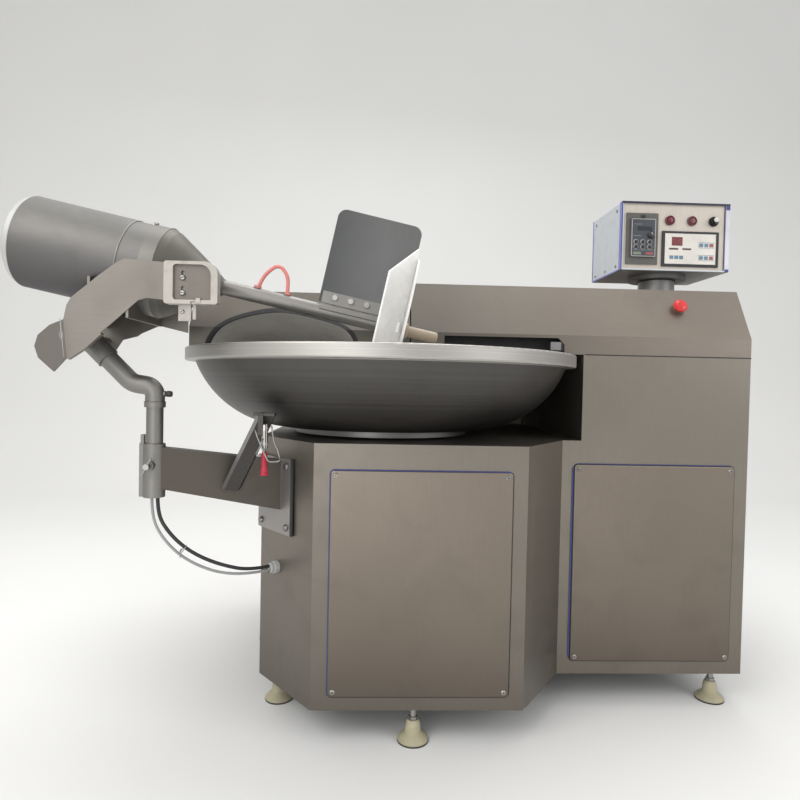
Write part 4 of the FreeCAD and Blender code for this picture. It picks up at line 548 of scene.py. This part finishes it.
def turned_piece(name, spots, axis, profile, material, body, steps=48):
    """Turned forms: profile points are radius and distance along the axis, in millimetres."""
    bm = bmesh.new()
    turn = UP.rotation_difference(axis).to_matrix().to_4x4()
    for origin in spots:
        place = Matrix.Translation(origin) @ turn
        rows = []
        for radius, along in profile:
            row = []
            for i in range(steps):
                angle = 2 * math.pi * i / steps
                spot = Vector((radius * math.cos(angle), radius * math.sin(angle), along)) / 1000
                row.append(bm.verts.new(place @ spot))
            rows.append(row)
        for first, second in zip(rows, rows[1:]):
            for i in range(steps):
                j = (i + 1) % steps
                bm.faces.new((first[i], first[j], second[j], second[i]))
    mesh_piece(name, bm, material, body)


def add_groove(bm, centre, angle, half_length, half_width, sunk, proud):
    """Dark groove in a screw head that faces the front: its mouth and its four sides."""
    half = Vector((math.cos(angle), 0, math.sin(angle))) * half_length
    across = Vector((-half.z, 0, half.x)).normalized() * half_width
    corners = [centre - half - across, centre + half - across, centre + half + across, centre - half + across]
    low = [bm.verts.new(corner - TO_FRONT * sunk) for corner in corners]
    high = [bm.verts.new(corner + TO_FRONT * proud) for corner in corners]
    bm.faces.new(high)
    for a in range(4):
        b = (a + 1) % 4
        bm.faces.new((low[a], low[b], high[b], high[a]))


def bead(name, points, radius, material, body, closed=False, ripple=0.0):
    """Round bar along points: a weld bead, a wire or a tie."""
    sides = 8
    no_bead_runs_here = Vector((0.13, 0.31, 0.94))
    bm = bmesh.new()
    rows = []
    last = len(points) - 1
    for i, point in enumerate(points):
        after = points[(i + 1) % len(points)] if closed or i < last else point
        before = points[i - 1] if closed or i else point
        axis = (after - before).normalized()
        flat = axis.cross(no_bead_runs_here).normalized()
        other = axis.cross(flat)
        swell = radius * (1 + ripple * math.sin(i * 2.4))
        row = []
        for k in range(sides):
            angle = 2 * math.pi * k / sides
            row.append(bm.verts.new(point + swell * (math.cos(angle) * flat + math.sin(angle) * other)))
        rows.append(row)
    pairs = list(zip(rows, rows[1:])) + ([(rows[-1], rows[0])] if closed else [])
    for first, second in pairs:
        for k in range(sides):
            j = (k + 1) % sides
            bm.faces.new((first[k], first[j], second[j], second[k]))
    if not closed:
        bm.faces.new(rows[0])
        bm.faces.new(rows[-1])
    mesh_piece(name, bm, material, body)


def ring_bead(name, centre, axis, radius, thickness, material, body, count=72, ripple=0.0):
    """Bead that closes on itself round an axis."""
    turn = UP.rotation_difference(axis).to_matrix()
    points = []
    for i in range(count):
        angle = 2 * math.pi * i / count
        points.append(centre + turn @ Vector((math.cos(angle), math.sin(angle), 0)) * radius)
    bead(name, points, thickness, material, body, closed=True, ripple=ripple)


def weld_ring(name, centre, axis, radius, thickness, body, count=72, ripple=0.15):
    ring_bead(name, centre, axis, radius, thickness, weld_steel, body, count, ripple)


# The pedestal's left chamfer carries the gland and the bracket plate
CHAMFER_START = Vector((-168.5, -354, 0))
CHAMFER_RUN = Vector((-162.5, 205, 0))
CHAMFER_OUT = Vector((-CHAMFER_RUN.y, CHAMFER_RUN.x, 0)).normalized()


def on_chamfer(share, z, out=0.0):
    """Place in millimetres: a share of the chamfer's run, a height and a distance off its face."""
    return CHAMFER_START + CHAMFER_RUN * share + UP * z + CHAMFER_OUT * out


# Hanging cables from the column sleeve to the gland
COLUMN_X, COLUMN_Y = -558.0, -354.0
GLAND_SHARE, GLAND_Z = 0.655, 418
SLEEVE_FOOT_Z = 628


def cable(name, cad_node, route, diameter, material):
    data = bpy.data.curves.new(name, "CURVE")
    data.dimensions = "3D"
    data.bevel_depth = diameter / 2
    data.bevel_resolution = 5
    data.resolution_u = 16
    spline = data.splines.new("NURBS")
    spline.points.add(len(route) - 1)
    for point, place in zip(spline.points, route):
        point.co = (*at(*place), 1.0)
    spline.order_u = 3
    spline.use_endpoint_u = True
    obj = bpy.data.objects.new(name, data)
    settle(obj, material, "machine")
    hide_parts(cad_node)


black_route = [
    (COLUMN_X + 9, COLUMN_Y, SLEEVE_FOOT_Z), (COLUMN_X + 9, COLUMN_Y, 585), (-524, -352, 541),
    (-488, -345, 502), (-446, -333, 472), (-397, -313, 447),
    on_chamfer(GLAND_SHARE, GLAND_Z + 5, 26 + 58), on_chamfer(GLAND_SHARE, GLAND_Z + 5, 26),
]
grey_route = [
    (COLUMN_X - 3, COLUMN_Y - 6, SLEEVE_FOOT_Z), (COLUMN_X - 3, COLUMN_Y - 6, 580), (-537, -361, 531),
    (-498, -354, 486), (-452, -342, 454), (-400, -320, 429),
    on_chamfer(GLAND_SHARE, GLAND_Z - 5, 26 + 58), on_chamfer(GLAND_SHARE, GLAND_Z - 5, 26),
]
cable("black_cable_sheath", "black_cable", black_route, 0.009, cable_black)
cable("grey_cable_sheath", "grey_cable", grey_route, 0.007, cable_grey)


# Service panels: blue film left on two edges, dark seals and crossed recesses in the screws
def rounded_outline(left, right, low, high, radius, y):
    """Closed line round a panel whose corners are rounded, from its right edge over the top."""
    line = []
    for x, z, start in ((right - radius, high - radius, 0), (left + radius, high - radius, 90),
                        (left + radius, low + radius, 180), (right - radius, low + radius, 270)):
        for step in range(7):
            angle = math.radians(start + 15 * step)
            line.append(at(x + radius * math.cos(angle), y, z + radius * math.sin(angle)))
    return line


front_line = rounded_outline(-126.6, 331.6, 130.4, 700.6, 10.6, -355.6)
cabinet_line = rounded_outline(550.2, 1016.8, 133.2, 698.8, 10.8, -150.4)
FILM_START, FILM_END = 3, 17
bead("front_panel_film", front_line[FILM_START:FILM_END + 1], 0.0019, film_blue, "machine")
bead("front_panel_seal", front_line[FILM_END + 1:] + front_line[:FILM_START + 1], 0.002, seal_rubber, "machine")
bead("cabinet_panel_seal", cabinet_line, 0.0016, film_dark, "machine", closed=True)
block_piece("cabinet_panel_film", [((545.6, -151.6, 146), (550.6, -149.2, 690)),
                                   ((562, -151.2, 699), (1006, -149.2, 701.4))], film_blue, "machine")


def crossed_recesses(name, left, right, low, high, face_y):
    """Crosses in the screws of a panel's four corners."""
    inset = 13
    bm = bmesh.new()
    corners = [(x, z) for x in (left + inset, right - inset) for z in (low + inset, high - inset)]
    for i, (x, z) in enumerate(corners):
        first = 0.4 + i * 0.37
        for angle in (first, first + math.pi / 2):
            add_groove(bm, at(x, face_y, z), angle, 0.0028, 0.0006, 0.0004, 0.00025)
    mesh_piece(name, bm, black_satin, "machine", smooth=False)


crossed_recesses("front_panel_recesses", -126, 331, 131, 700, -364)
crossed_recesses("cabinet_panel_recesses", 551, 1016, 134, 698, -159)

# Support: weld beads, bracket gasket and the cable tie
bead("bracket_gasket", [at(*on_chamfer(0.352, 516 + 10 * i, 5)) for i in range(21)], 0.0042, seal_rubber,
     "machine")
weld_ring("sleeve_top_bead", at(COLUMN_X, COLUMN_Y, 758), UP, 0.0232, 0.0016, "machine")
weld_ring("elbow_foot_bead", at(COLUMN_X, COLUMN_Y, 860.5), UP, 0.0238, 0.0017, "elbow")
elbow_top = at(-720, COLUMN_Y, 1013)
elbow_way = Vector((1, 0, -1)).normalized()
weld_ring("elbow_collar_bead_low", elbow_top + elbow_way * 0.0685, elbow_way, 0.0258, 0.0015, "elbow")
weld_ring("elbow_collar_bead_high", elbow_top + elbow_way * 0.0125, elbow_way, 0.0258, 0.0015, "elbow")
cables_way = Vector((0.72, 0.2, -0.65)).normalized()
ring_bead("cable_tie", at(-489, -348, 495), cables_way, 0.0135, 0.0013, cable_grey, "machine", 40)
tie_tail = [at(-489, -361, 500), at(-489, -368, 497), at(-488, -374, 491), at(-486, -377, 483)]
bead("cable_tie_tail", tie_tail, 0.0012, cable_grey, "machine")


# Gland: hexagonal nut, faceted cap and its dark sealing ring
def off_gland(out):
    return at(*on_chamfer(GLAND_SHARE, GLAND_Z)) + CHAMFER_OUT * out / 1000


rod_piece("gland_nut", [(off_gland(0.5), off_gland(12.5))], 0.0172, gland_grey, "machine",
          steps=6, smooth=False, bevel=0.0008)
rod_piece("gland_cap", [(off_gland(13.5), off_gland(22.5))], 0.0142, gland_grey, "machine",
          steps=8, smooth=False, bevel=0.0008)
ring_bead("gland_seal", off_gland(26.2), CHAMFER_OUT, 0.0098, 0.0012, seal_rubber, "machine")

# Feet: rubber soles under the bell pads and the threads of their stems
SOLE = [(0, 0.1), (40.4, 0.1), (40.6, 3.4), (39.8, 4.2), (36, 4.2)]
THREAD = []
for ridge in range(9):
    ridge_z = 66 + ridge * 3.6
    THREAD += [(8.05, ridge_z - 0.9), (8.9, ridge_z), (8.05, ridge_z + 0.9)]
for label, x, y in (("front", 94, -319), ("left_front", -281, -103), ("right_front", 992, -103),
                    ("left_back", -281, 640), ("right_back", 992, 640)):
    foot = [at(x, y, 0)]
    turned_piece("foot_sole_" + label, foot, UP, SOLE, seal_rubber, "machine")
    turned_piece("foot_thread_" + label, foot, UP, THREAD, fastener_steel, "machine", 24)

# Hood seam: dark joint where the hood stands on the cabinet
hood_joint = [at(574, -150.1, 1011), at(1055, -150.1, 1011), at(1056.1, -149, 1011), at(1056.1, 690, 1011)]
bead("hood_joint", hood_joint, 0.0013, seal_rubber, "machine")

# Mouth: steel plate that clamps the bowl wiper
block_piece("wiper_plate", [((475, -147.4, 1022), (505, -146.05, 1045))], wiper_steel, "machine",
            0.003)

# Sleeve: stop tab at the head of its flat strip
block_piece("sleeve_stop_tab", [((-590, -360, 757.6), (-582, -347, 781)), ((-592, -361, 757.6), (-581, -346, 761))],
            tube_steel, "machine", 0.0006)

# Unloader pieces are placed along the pipe, which falls towards the disc
DISC = at(52, COLUMN_Y, 1049)
PIPE_FALL = math.radians(12)
PIPE = Vector((math.cos(PIPE_FALL), 0, -math.sin(PIPE_FALL)))
PIPE_UP = Vector((-PIPE.z, 0, PIPE.x))
CONE_SHOULDER, DOME_SEAM = -598, -922


def on_pipe(along, back=0.0, above=0.0):
    """Place from the disc, in millimetres along the pipe, to the back and above it."""
    return DISC + (PIPE * along + Vector((0, back, 0)) + PIPE_UP * above) / 1000


weld_ring("cone_mouth_bead", on_pipe(-457.5), PIPE, 0.0186, 0.0016, "unloader")
weld_ring("cone_shoulder_bead", on_pipe(CONE_SHOULDER), PIPE, 0.1096, 0.0012, "unloader", ripple=0.1)
# Pale beads at the motor's seams: painted highlights on their edges.
ring_bead("motor_seam_case_painted_highlight", on_pipe(-680.4), PIPE, 0.1090, 0.0009, key_rim, "unloader", 96)
ring_bead("motor_seam_dome_painted_highlight", on_pipe(DOME_SEAM), PIPE, 0.1092, 0.0009, key_rim, "unloader", 96)
# Pale bead along the arm's fold: a painted highlight on the edge.
bead("arm_fold_painted_highlight", [at(-724, -483.3, 1048), at(-715, -483.3, 962)], 0.0009, key_rim, "unloader")
rod_piece("flange_screw", [(on_pipe(-640, -20, 107), on_pipe(-640, -20, 112.5))], 0.0055, fastener_steel,
          "unloader", steps=12, bevel=0.0008)
weld_ring("loop_foot_bead_back", on_pipe(-377, 0, 17.6), PIPE_UP, 0.0092, 0.0012, "unloader", 40)
weld_ring("loop_foot_bead_front", on_pipe(-302, 0, 17.6), PIPE_UP, 0.0092, 0.0012, "unloader", 40)

# Second tones of the cone; painted shade on the motor's lower side and a painted reflection on its dome; the bracket
# plate lighter, partly its own tone and partly painted light; the bracket's screws
tone_below(cone_steel, PIPE, DISC.dot(PIPE) + CONE_SHOULDER / 1000, (0.215, 0.208, 0.192))
# Painted shade: the motor's lower side darker.
tone_below(motor_steel, PIPE_UP, DISC.dot(PIPE_UP) - 0.03, (0.08, 0.077, 0.082), 0.10)
# Painted reflection: the dome pale.
tone_below(motor_steel, PIPE, DISC.dot(PIPE) + DOME_SEAM / 1000 - 0.0005, (0.66, 0.66, 0.65))
# Bracket plate: lighter like the chamfer, and raised further as painted light against the beam's shade.
tone_below(beam_steel, CHAMFER_OUT, at(*CHAMFER_START).dot(CHAMFER_OUT) + 0.0105, (0.33, 0.315, 0.305))
tone_below(fixing_steel, (1, 0, 0), AXIS_X - 0.145, (0.24, 0.228, 0.22))


def hexagon_heads(name, spots, axis, radius, height, body):
    ends = [(spot, spot + axis * height) for spot in spots]
    rod_piece(name, ends, radius, fastener_steel, body, steps=6, smooth=False, bevel=0.0005)


BAFFLE_BOLTS = (-187, -147, -107)
hexagon_heads("baffle_bolt_heads", [on_pipe(s, -6.0, 38) for s in BAFFLE_BOLTS], TO_FRONT, 0.0078, 0.0052, "unloader")
hexagon_heads("baffle_nuts", [on_pipe(s, 2.0, 38) for s in BAFFLE_BOLTS], -TO_FRONT, 0.0068, 0.005, "unloader")


# Mounting box: slots in the screws of its face and of the tab under it
def slotted_heads(name, spots, face_y, half_length):
    bm = bmesh.new()
    for x, z, angle in spots:
        add_groove(bm, at(x, face_y, z), angle, half_length, 0.0009, 0.0005, 0.0003)
    mesh_piece(name, bm, black_satin, "unloader", smooth=False)


slotted_heads("mount_box_slots", [(-455, 1145, 0.3), (-455, 1111, -0.2)], -488, 0.0042)
slotted_heads("mount_tab_slot", [(-457, 1070, 0.6)], -481, 0.0032)

# Toggle clamp: side levers and their rivets, the wire bail and hook that hang from them, the end of the grip
block_piece("toggle_levers", [((-286.0, -421, 758), (-283.2, -406, 787)), ((-275.8, -421, 758), (-273.0, -406, 816))],
            fastener_steel, "toggle", 0.001)
rod_piece("toggle_rivets", [(at(-287.5, -413, 768), at(-271.5, -413, 768)),
                            (at(-282.7, -413, 806), at(-271.5, -413, 806))],
          0.0042, fastener_steel, "toggle", bevel=0.0006)
bail = [
    at(-303, -418, 806), at(-295, -422, 783), at(-281, -426, 752), at(-270, -427, 731), at(-267, -427, 728),
    at(-262, -427, 727), at(-246, -426, 728), at(-242, -425, 731), at(-242, -424, 738), at(-248, -421, 755),
    at(-255, -419, 768), at(-259, -417, 780), at(-262, -415, 800), at(-264, -414, 812),
]
bead("toggle_bail", bail, 0.0019, fastener_steel, "toggle")
hook = [at(-283, -423, 781), at(-288, -424, 764), at(-298, -424, 746), at(-297, -424, 743), at(-285, -424, 742)]
bead("toggle_hook", hook, 0.0016, fastener_steel, "toggle")
turned_piece("toggle_grip_end", [at(-280.2, -412, 692.5)], UP,
             [(0, 0), (9.2, 0.5), (9.6, 3), (8.6, 6), (7.2, 7), (0, 7)], grip_red, "toggle", 32)

# Control box: film round its face, keypad unit, membrane panel, lamp buttons and selector
POST_X, POST_Y = 876.5, 85.0
BOX_LEFT, BOX_RIGHT = POST_X - 165.5, POST_X + 165.5
RIM_Y = -40.0
FRAME_Y = -41.0
KEYPAD_Y = -48.0
SHEET_BACK_Y, SHEET_Y = -38.0, -38.8
BUTTON_Z = 1427


def face_blocks(name, back, front, areas, material, bevel=0.0):
    """Flat pieces between two depths: left, right, bottom and top of each."""
    blocks = [((x0, front, z0), (x1, back, z1)) for x0, x1, z0, z1 in areas]
    block_piece(name, blocks, material, "control_head", bevel)


def face_studs(name, spots, back, profile, material, steps=28):
    centres = [at(x, back, z) for x, z in spots]
    turned_piece(name, centres, TO_FRONT, profile, material, "control_head", steps)


face_blocks("box_top_edge", RIM_Y - 0.2, RIM_Y - 1.4, [(BOX_LEFT, BOX_RIGHT, 1474.5, 1480.6)], film_dark)
block_piece("box_edge_film", [
    ((BOX_LEFT - 1.0, -40.8, 1276), (BOX_LEFT - 0.1, -24, 1480)),
    ((BOX_LEFT - 0.9, 204, 1276), (BOX_LEFT - 0.1, 210, 1480)),
    ((BOX_LEFT - 0.8, -24, 1275.4), (BOX_LEFT - 0.1, 209, 1279.4)),
], film_violet, "control_head")
block_piece("box_edge_line", [
    ((BOX_LEFT - 0.4, -41.3, 1276), (BOX_LEFT + 2.2, -40.2, 1480)),
    ((BOX_RIGHT - 14.5, -36.0, 1281), (BOX_RIGHT - 12.8, -35.1, 1474)),
    ((BOX_RIGHT - 12.0, -41.5, 1462), (BOX_RIGHT - 0.4, -41.0, 1474)),
    ((BOX_RIGHT - 12.0, -41.5, 1276), (BOX_RIGHT - 0.4, -41.0, 1284)),
], film_blue, "control_head")
face_blocks("box_right_edge", RIM_Y - 0.1, RIM_Y - 1.0, [(BOX_RIGHT - 12.4, BOX_RIGHT - 0.4, 1276, 1474.3)],
            film_pale)

# Keypad unit: plate with its rim, clip, display, dial and keys
face_blocks("keypad_plate", KEYPAD_Y, KEYPAD_Y - 0.5, [(740, 810, 1316.5, 1425.5)], unit_grey, bevel=0.0005)
face_blocks("keypad_rim", KEYPAD_Y + 0.4, KEYPAD_Y - 0.9, [
    (738.2, 740.4, 1315, 1427), (809.6, 811.8, 1315, 1427),
    (738.2, 811.8, 1425.2, 1427.4), (738.2, 811.8, 1314.6, 1316.8),
], key_rim, 0.0004)
face_blocks("keypad_clip", FRAME_Y, FRAME_Y - 1.5, [(768, 782, 1431, 1440)], black_satin, bevel=0.0006)
face_blocks("keypad_display", KEYPAD_Y - 0.4, KEYPAD_Y - 1, [(756, 800, 1392, 1404)], screen_grey, bevel=0.0022)
face_studs("keypad_dial", [(797, 1379)], KEYPAD_Y,
           [(0, 0), (10.5, 0), (10.5, 2), (9.4, 2.6), (8.4, 6.5), (7.2, 7.6), (0, 7.8)],
           screen_grey, 40)
face_blocks("keypad_dial_mark", -55.7, -56.2, [(796.3, 797.7, 1380, 1386)], window_white)
keypad_keys = [(x, z) for x in (752, 773, 794) for z in (1358, 1343)]
face_studs("keypad_key_rings", keypad_keys, KEYPAD_Y - 0.4, [(0, 0), (7.6, 0), (7.6, 0.9), (0, 1.0)],
           key_rim)
face_studs("keypad_keys", keypad_keys, KEYPAD_Y - 1, [(0, 0), (5.8, 0), (5.8, 1.4), (4.8, 2.1), (0, 2.3)],
           black_satin)
face_blocks("keypad_run_key", KEYPAD_Y - 0.4, KEYPAD_Y - 1.6, [(744, 768, 1320, 1328)], key_green, bevel=0.0012)
face_blocks("keypad_stop_key", KEYPAD_Y - 0.4, KEYPAD_Y - 1.6, [(782, 806, 1320, 1328)], key_red,
            0.0012)
face_blocks("keypad_lines", KEYPAD_Y - 0.4, KEYPAD_Y - 0.7, [
    (745, 772, 1410.4, 1411.2), (744, 768, 1376, 1376.8), (744, 806, 1333.4, 1334),
], key_rim)

# Membrane panel: sheet, display with its digits, slots and keys
face_blocks("membrane_sheet", SHEET_BACK_Y, SHEET_Y, [(845.3, 1002.7, 1297.3, 1388.7)], window_white)
face_blocks("membrane_display", SHEET_Y, SHEET_Y - 0.6, [(866, 899, 1352, 1378)], glass_dark, bevel=0.0004)


def digit_areas(x, z, number):
    """Bars of a seven-part digit: left, right, bottom and top of each."""
    width, height, half_bar, gap, half_upright = 6.0, 12.0, 0.55, 0.7, 2.4
    level_bars = {"a": 1, "d": 0, "g": 0.5}
    upright_bars = {"f": (0, 0.75), "e": (0, 0.25), "b": (1, 0.75), "c": (1, 0.25)}
    areas = []
    for bar in {0: "abcdef", 1: "bc", 5: "afgcd"}[number]:
        if bar in level_bars:
            mid_z = z + height * level_bars[bar]
            areas.append((x + gap, x + width - gap, mid_z - half_bar, mid_z + half_bar))
        else:
            side, along = upright_bars[bar]
            mid_x, mid_z = x + width * side, z + height * along
            areas.append((mid_x - half_bar, mid_x + half_bar, mid_z - half_upright, mid_z + half_upright))
    return areas


digits = digit_areas(870, 1358.5, 0) + digit_areas(880, 1358.5, 1) + digit_areas(890, 1358.5, 5)
face_blocks("membrane_digits", SHEET_Y - 0.55, SHEET_Y - 0.9, digits, lit_red)
face_blocks("membrane_slots", SHEET_Y, SHEET_Y - 0.4, [(858, 886, 1339.6, 1344.8), (899, 926, 1339.6, 1344.8)],
            slot_brown)


def membrane_keys(name, places, material):
    areas = [(x - 6.0, x + 6.0, z - 5.2, z + 5.2) for x, z in places]
    face_blocks(name, SHEET_Y, SHEET_Y - 0.7, areas, material, 0.0014)


UPPER_KEYS_Z, LOWER_KEYS_Z = 1355, 1317
membrane_keys("membrane_small_keys", [(x, LOWER_KEYS_Z) for x in (866, 881, 896)], key_blue)
membrane_keys("membrane_blue_keys", [(x, z) for z in (UPPER_KEYS_Z, LOWER_KEYS_Z) for x in (957, 972.5)],
              key_blue)
membrane_keys("membrane_red_keys", [(988, UPPER_KEYS_Z), (988, LOWER_KEYS_Z)], key_red)
for label, z in (("upper", UPPER_KEYS_Z), ("lower", LOWER_KEYS_Z)):
    frame_line = [at(949, -39.1, z - 8), at(949, -39.1, z + 8), at(996, -39.1, z + 8), at(996, -39.1, z - 8)]
    bead("membrane_key_frame_" + label, frame_line, 0.0005, key_blue, "control_head", closed=True)

# Lamp buttons and selector: rings round them and the selector's cap
for label, x in (("start", 859), ("stop", 927)):
    ring_bead("lamp_ring_" + label, at(x, RIM_Y - 0.4, BUTTON_Z), -TO_FRONT, 0.0128, 0.0017, lamp_crimson,
              "control_head")
ring_bead("selector_ring", at(993, -39.6, BUTTON_Z), -TO_FRONT, 0.0134, 0.0015, black_satin, "control_head")
turned_piece("selector_cap", [at(992.4, -54.6, 1428.4)], TO_FRONT,
             [(0, 0), (7.2, 0), (7.2, 2.8), (6.3, 3.7), (0, 4.1)], window_white, "selector", 32)

# Control post: bolts through its ring, a seal under the box, and the screws in the box's left side
ring_bolts = [at(POST_X + 61 * math.cos(a), POST_Y + 61 * math.sin(a), 1219) for a in (0.6, 2.2, 3.7, 5.3)]
hexagon_heads("post_ring_bolts", ring_bolts, UP, 0.0062, 0.005, "machine")
ring_bead("box_flange_seal", at(POST_X, POST_Y, 1261.4), UP, 0.0562, 0.0014, seal_rubber, "machine")
side_screws = [(0, 1461), (178, 1461), (0, 1292), (90, 1292), (178, 1292)]
rod_piece("box_side_screws", [(at(BOX_LEFT - 0.1, y, z), at(BOX_LEFT - 2.4, y, z)) for y, z in side_screws],
          0.005, fastener_steel, "control_head", bevel=0.0006)

# Stop button: chrome collar and the ridge round its mushroom head
stop_out = Vector((0, -0.869696, 0.493588))
stop_base = at(863, -98.65, 1153.7)
ring_bead("stop_collar", stop_base + stop_out * 0.0032, stop_out, 0.0128, 0.0014, fastener_steel, "machine")
ring_bead("stop_ridge", stop_base + stop_out * 0.0172, stop_out, 0.0194, 0.0011, stop_red, "estop")

# Bowl: weld bead where the turntable carries it
weld_ring("bowl_seat_bead", at(0, 0, 791.5), UP, 0.2566, 0.0022, "bowl_body", 144, 0.1)


# Pale floor that rises into a backdrop, soft lamps and an even sky
def backdrop():
    floor_front, floor_back, bend, top, half_width, sunk = -5.0, 2.9, 1.3, 6.0, 8.0, 0.0002
    outline = [(floor_front, 0.0), (floor_back, 0.0)]
    for i in range(1, 13):
        angle = math.pi / 2 * i / 12
        outline.append((floor_back + bend * math.sin(angle), bend - bend * math.cos(angle)))
    outline.append((floor_back + bend, top))
    bm = bmesh.new()
    rows = []
    for y, z in outline:
        rows.append([bm.verts.new((x, y, z - sunk)) for x in (-half_width, half_width)])
    for first, second in zip(rows, rows[1:]):
        bm.faces.new((first[0], first[1], second[1], second[0]))
    mesh = bpy.data.meshes.new("studio_floor")
    bm.to_mesh(mesh)
    bm.free()
    for polygon in mesh.polygons:
        polygon.use_smooth = True
    floor = bpy.data.objects.new("studio_floor", mesh)
    bpy.context.scene.collection.objects.link(floor)
    material, tree, shader = new_finish("studio_paper", 0.0, Roughness=0.9)
    marks = placed(tree, MARKS, Size=0.6)
    set_colour(tree, shader, tint(tree, marks["Tone"], colour(0.80, 0.80, 0.79), colour(0.83, 0.83, 0.82)))
    mesh.materials.append(material)


backdrop()


def lamp(name, place, target, size, power, rgb=(1, 1, 1)):
    data = bpy.data.lights.new(name, "AREA")
    data.size = size
    data.energy = power
    data.color = rgb
    made = bpy.data.objects.new(name, data)
    made.location = place
    made.rotation_euler = (Vector(target) - Vector(place)).to_track_quat("-Z", "Y").to_euler()
    bpy.context.scene.collection.objects.link(made)


lamp("key_lamp", (-2.6, -3.2, 3.4), (0, 0, 0.7), 2.6, 79, (1.0, 0.985, 0.96))
lamp("fill_lamp", (3.4, -2.6, 2.2), (0.2, 0, 0.7), 2.2, 32, (0.97, 0.98, 1.0))
lamp("top_lamp", (0.2, 0.6, 4.2), (0, 0, 0.8), 2.6, 74)
lamp("low_lamp", (-0.9, -2.9, 0.95), (-0.2, -0.1, 1.1), 1.4, 14, (0.98, 0.99, 1.0))

world = bpy.data.worlds.new("studio_sky")
bpy.context.scene.world = world
world.use_nodes = True
sky = world.node_tree
background = sky.nodes["Background"]
direction = sky.nodes.new("ShaderNodeTexCoord").outputs["Generated"]
height = axis_part(sky, direction, 2)
glow = ramp(sky, height, -0.35, 0.8, 0.34, 0.86)
shine = ramp(sky, height, -0.3, 0.75, 0.42, 1.0)
path = sky.nodes.new("ShaderNodeLightPath")
sharp = math_node(sky, "MAXIMUM", path.outputs["Is Glossy Ray"], path.outputs["Is Transmission Ray"])
level = node(sky, "ShaderNodeMix", [(0, sharp), (2, glow), (3, shine)], data_type="FLOAT").outputs[0]
level = node(sky, "ShaderNodeMix", [(0, path.outputs["Is Camera Ray"]), (2, level), (3, 0.95)],
             data_type="FLOAT").outputs[0]
sky.links.new(level, background.inputs["Strength"])
background.inputs["Color"].default_value = colour(1.0, 0.995, 0.985)

bpy.context.scene.view_settings.view_transform = "Standard"
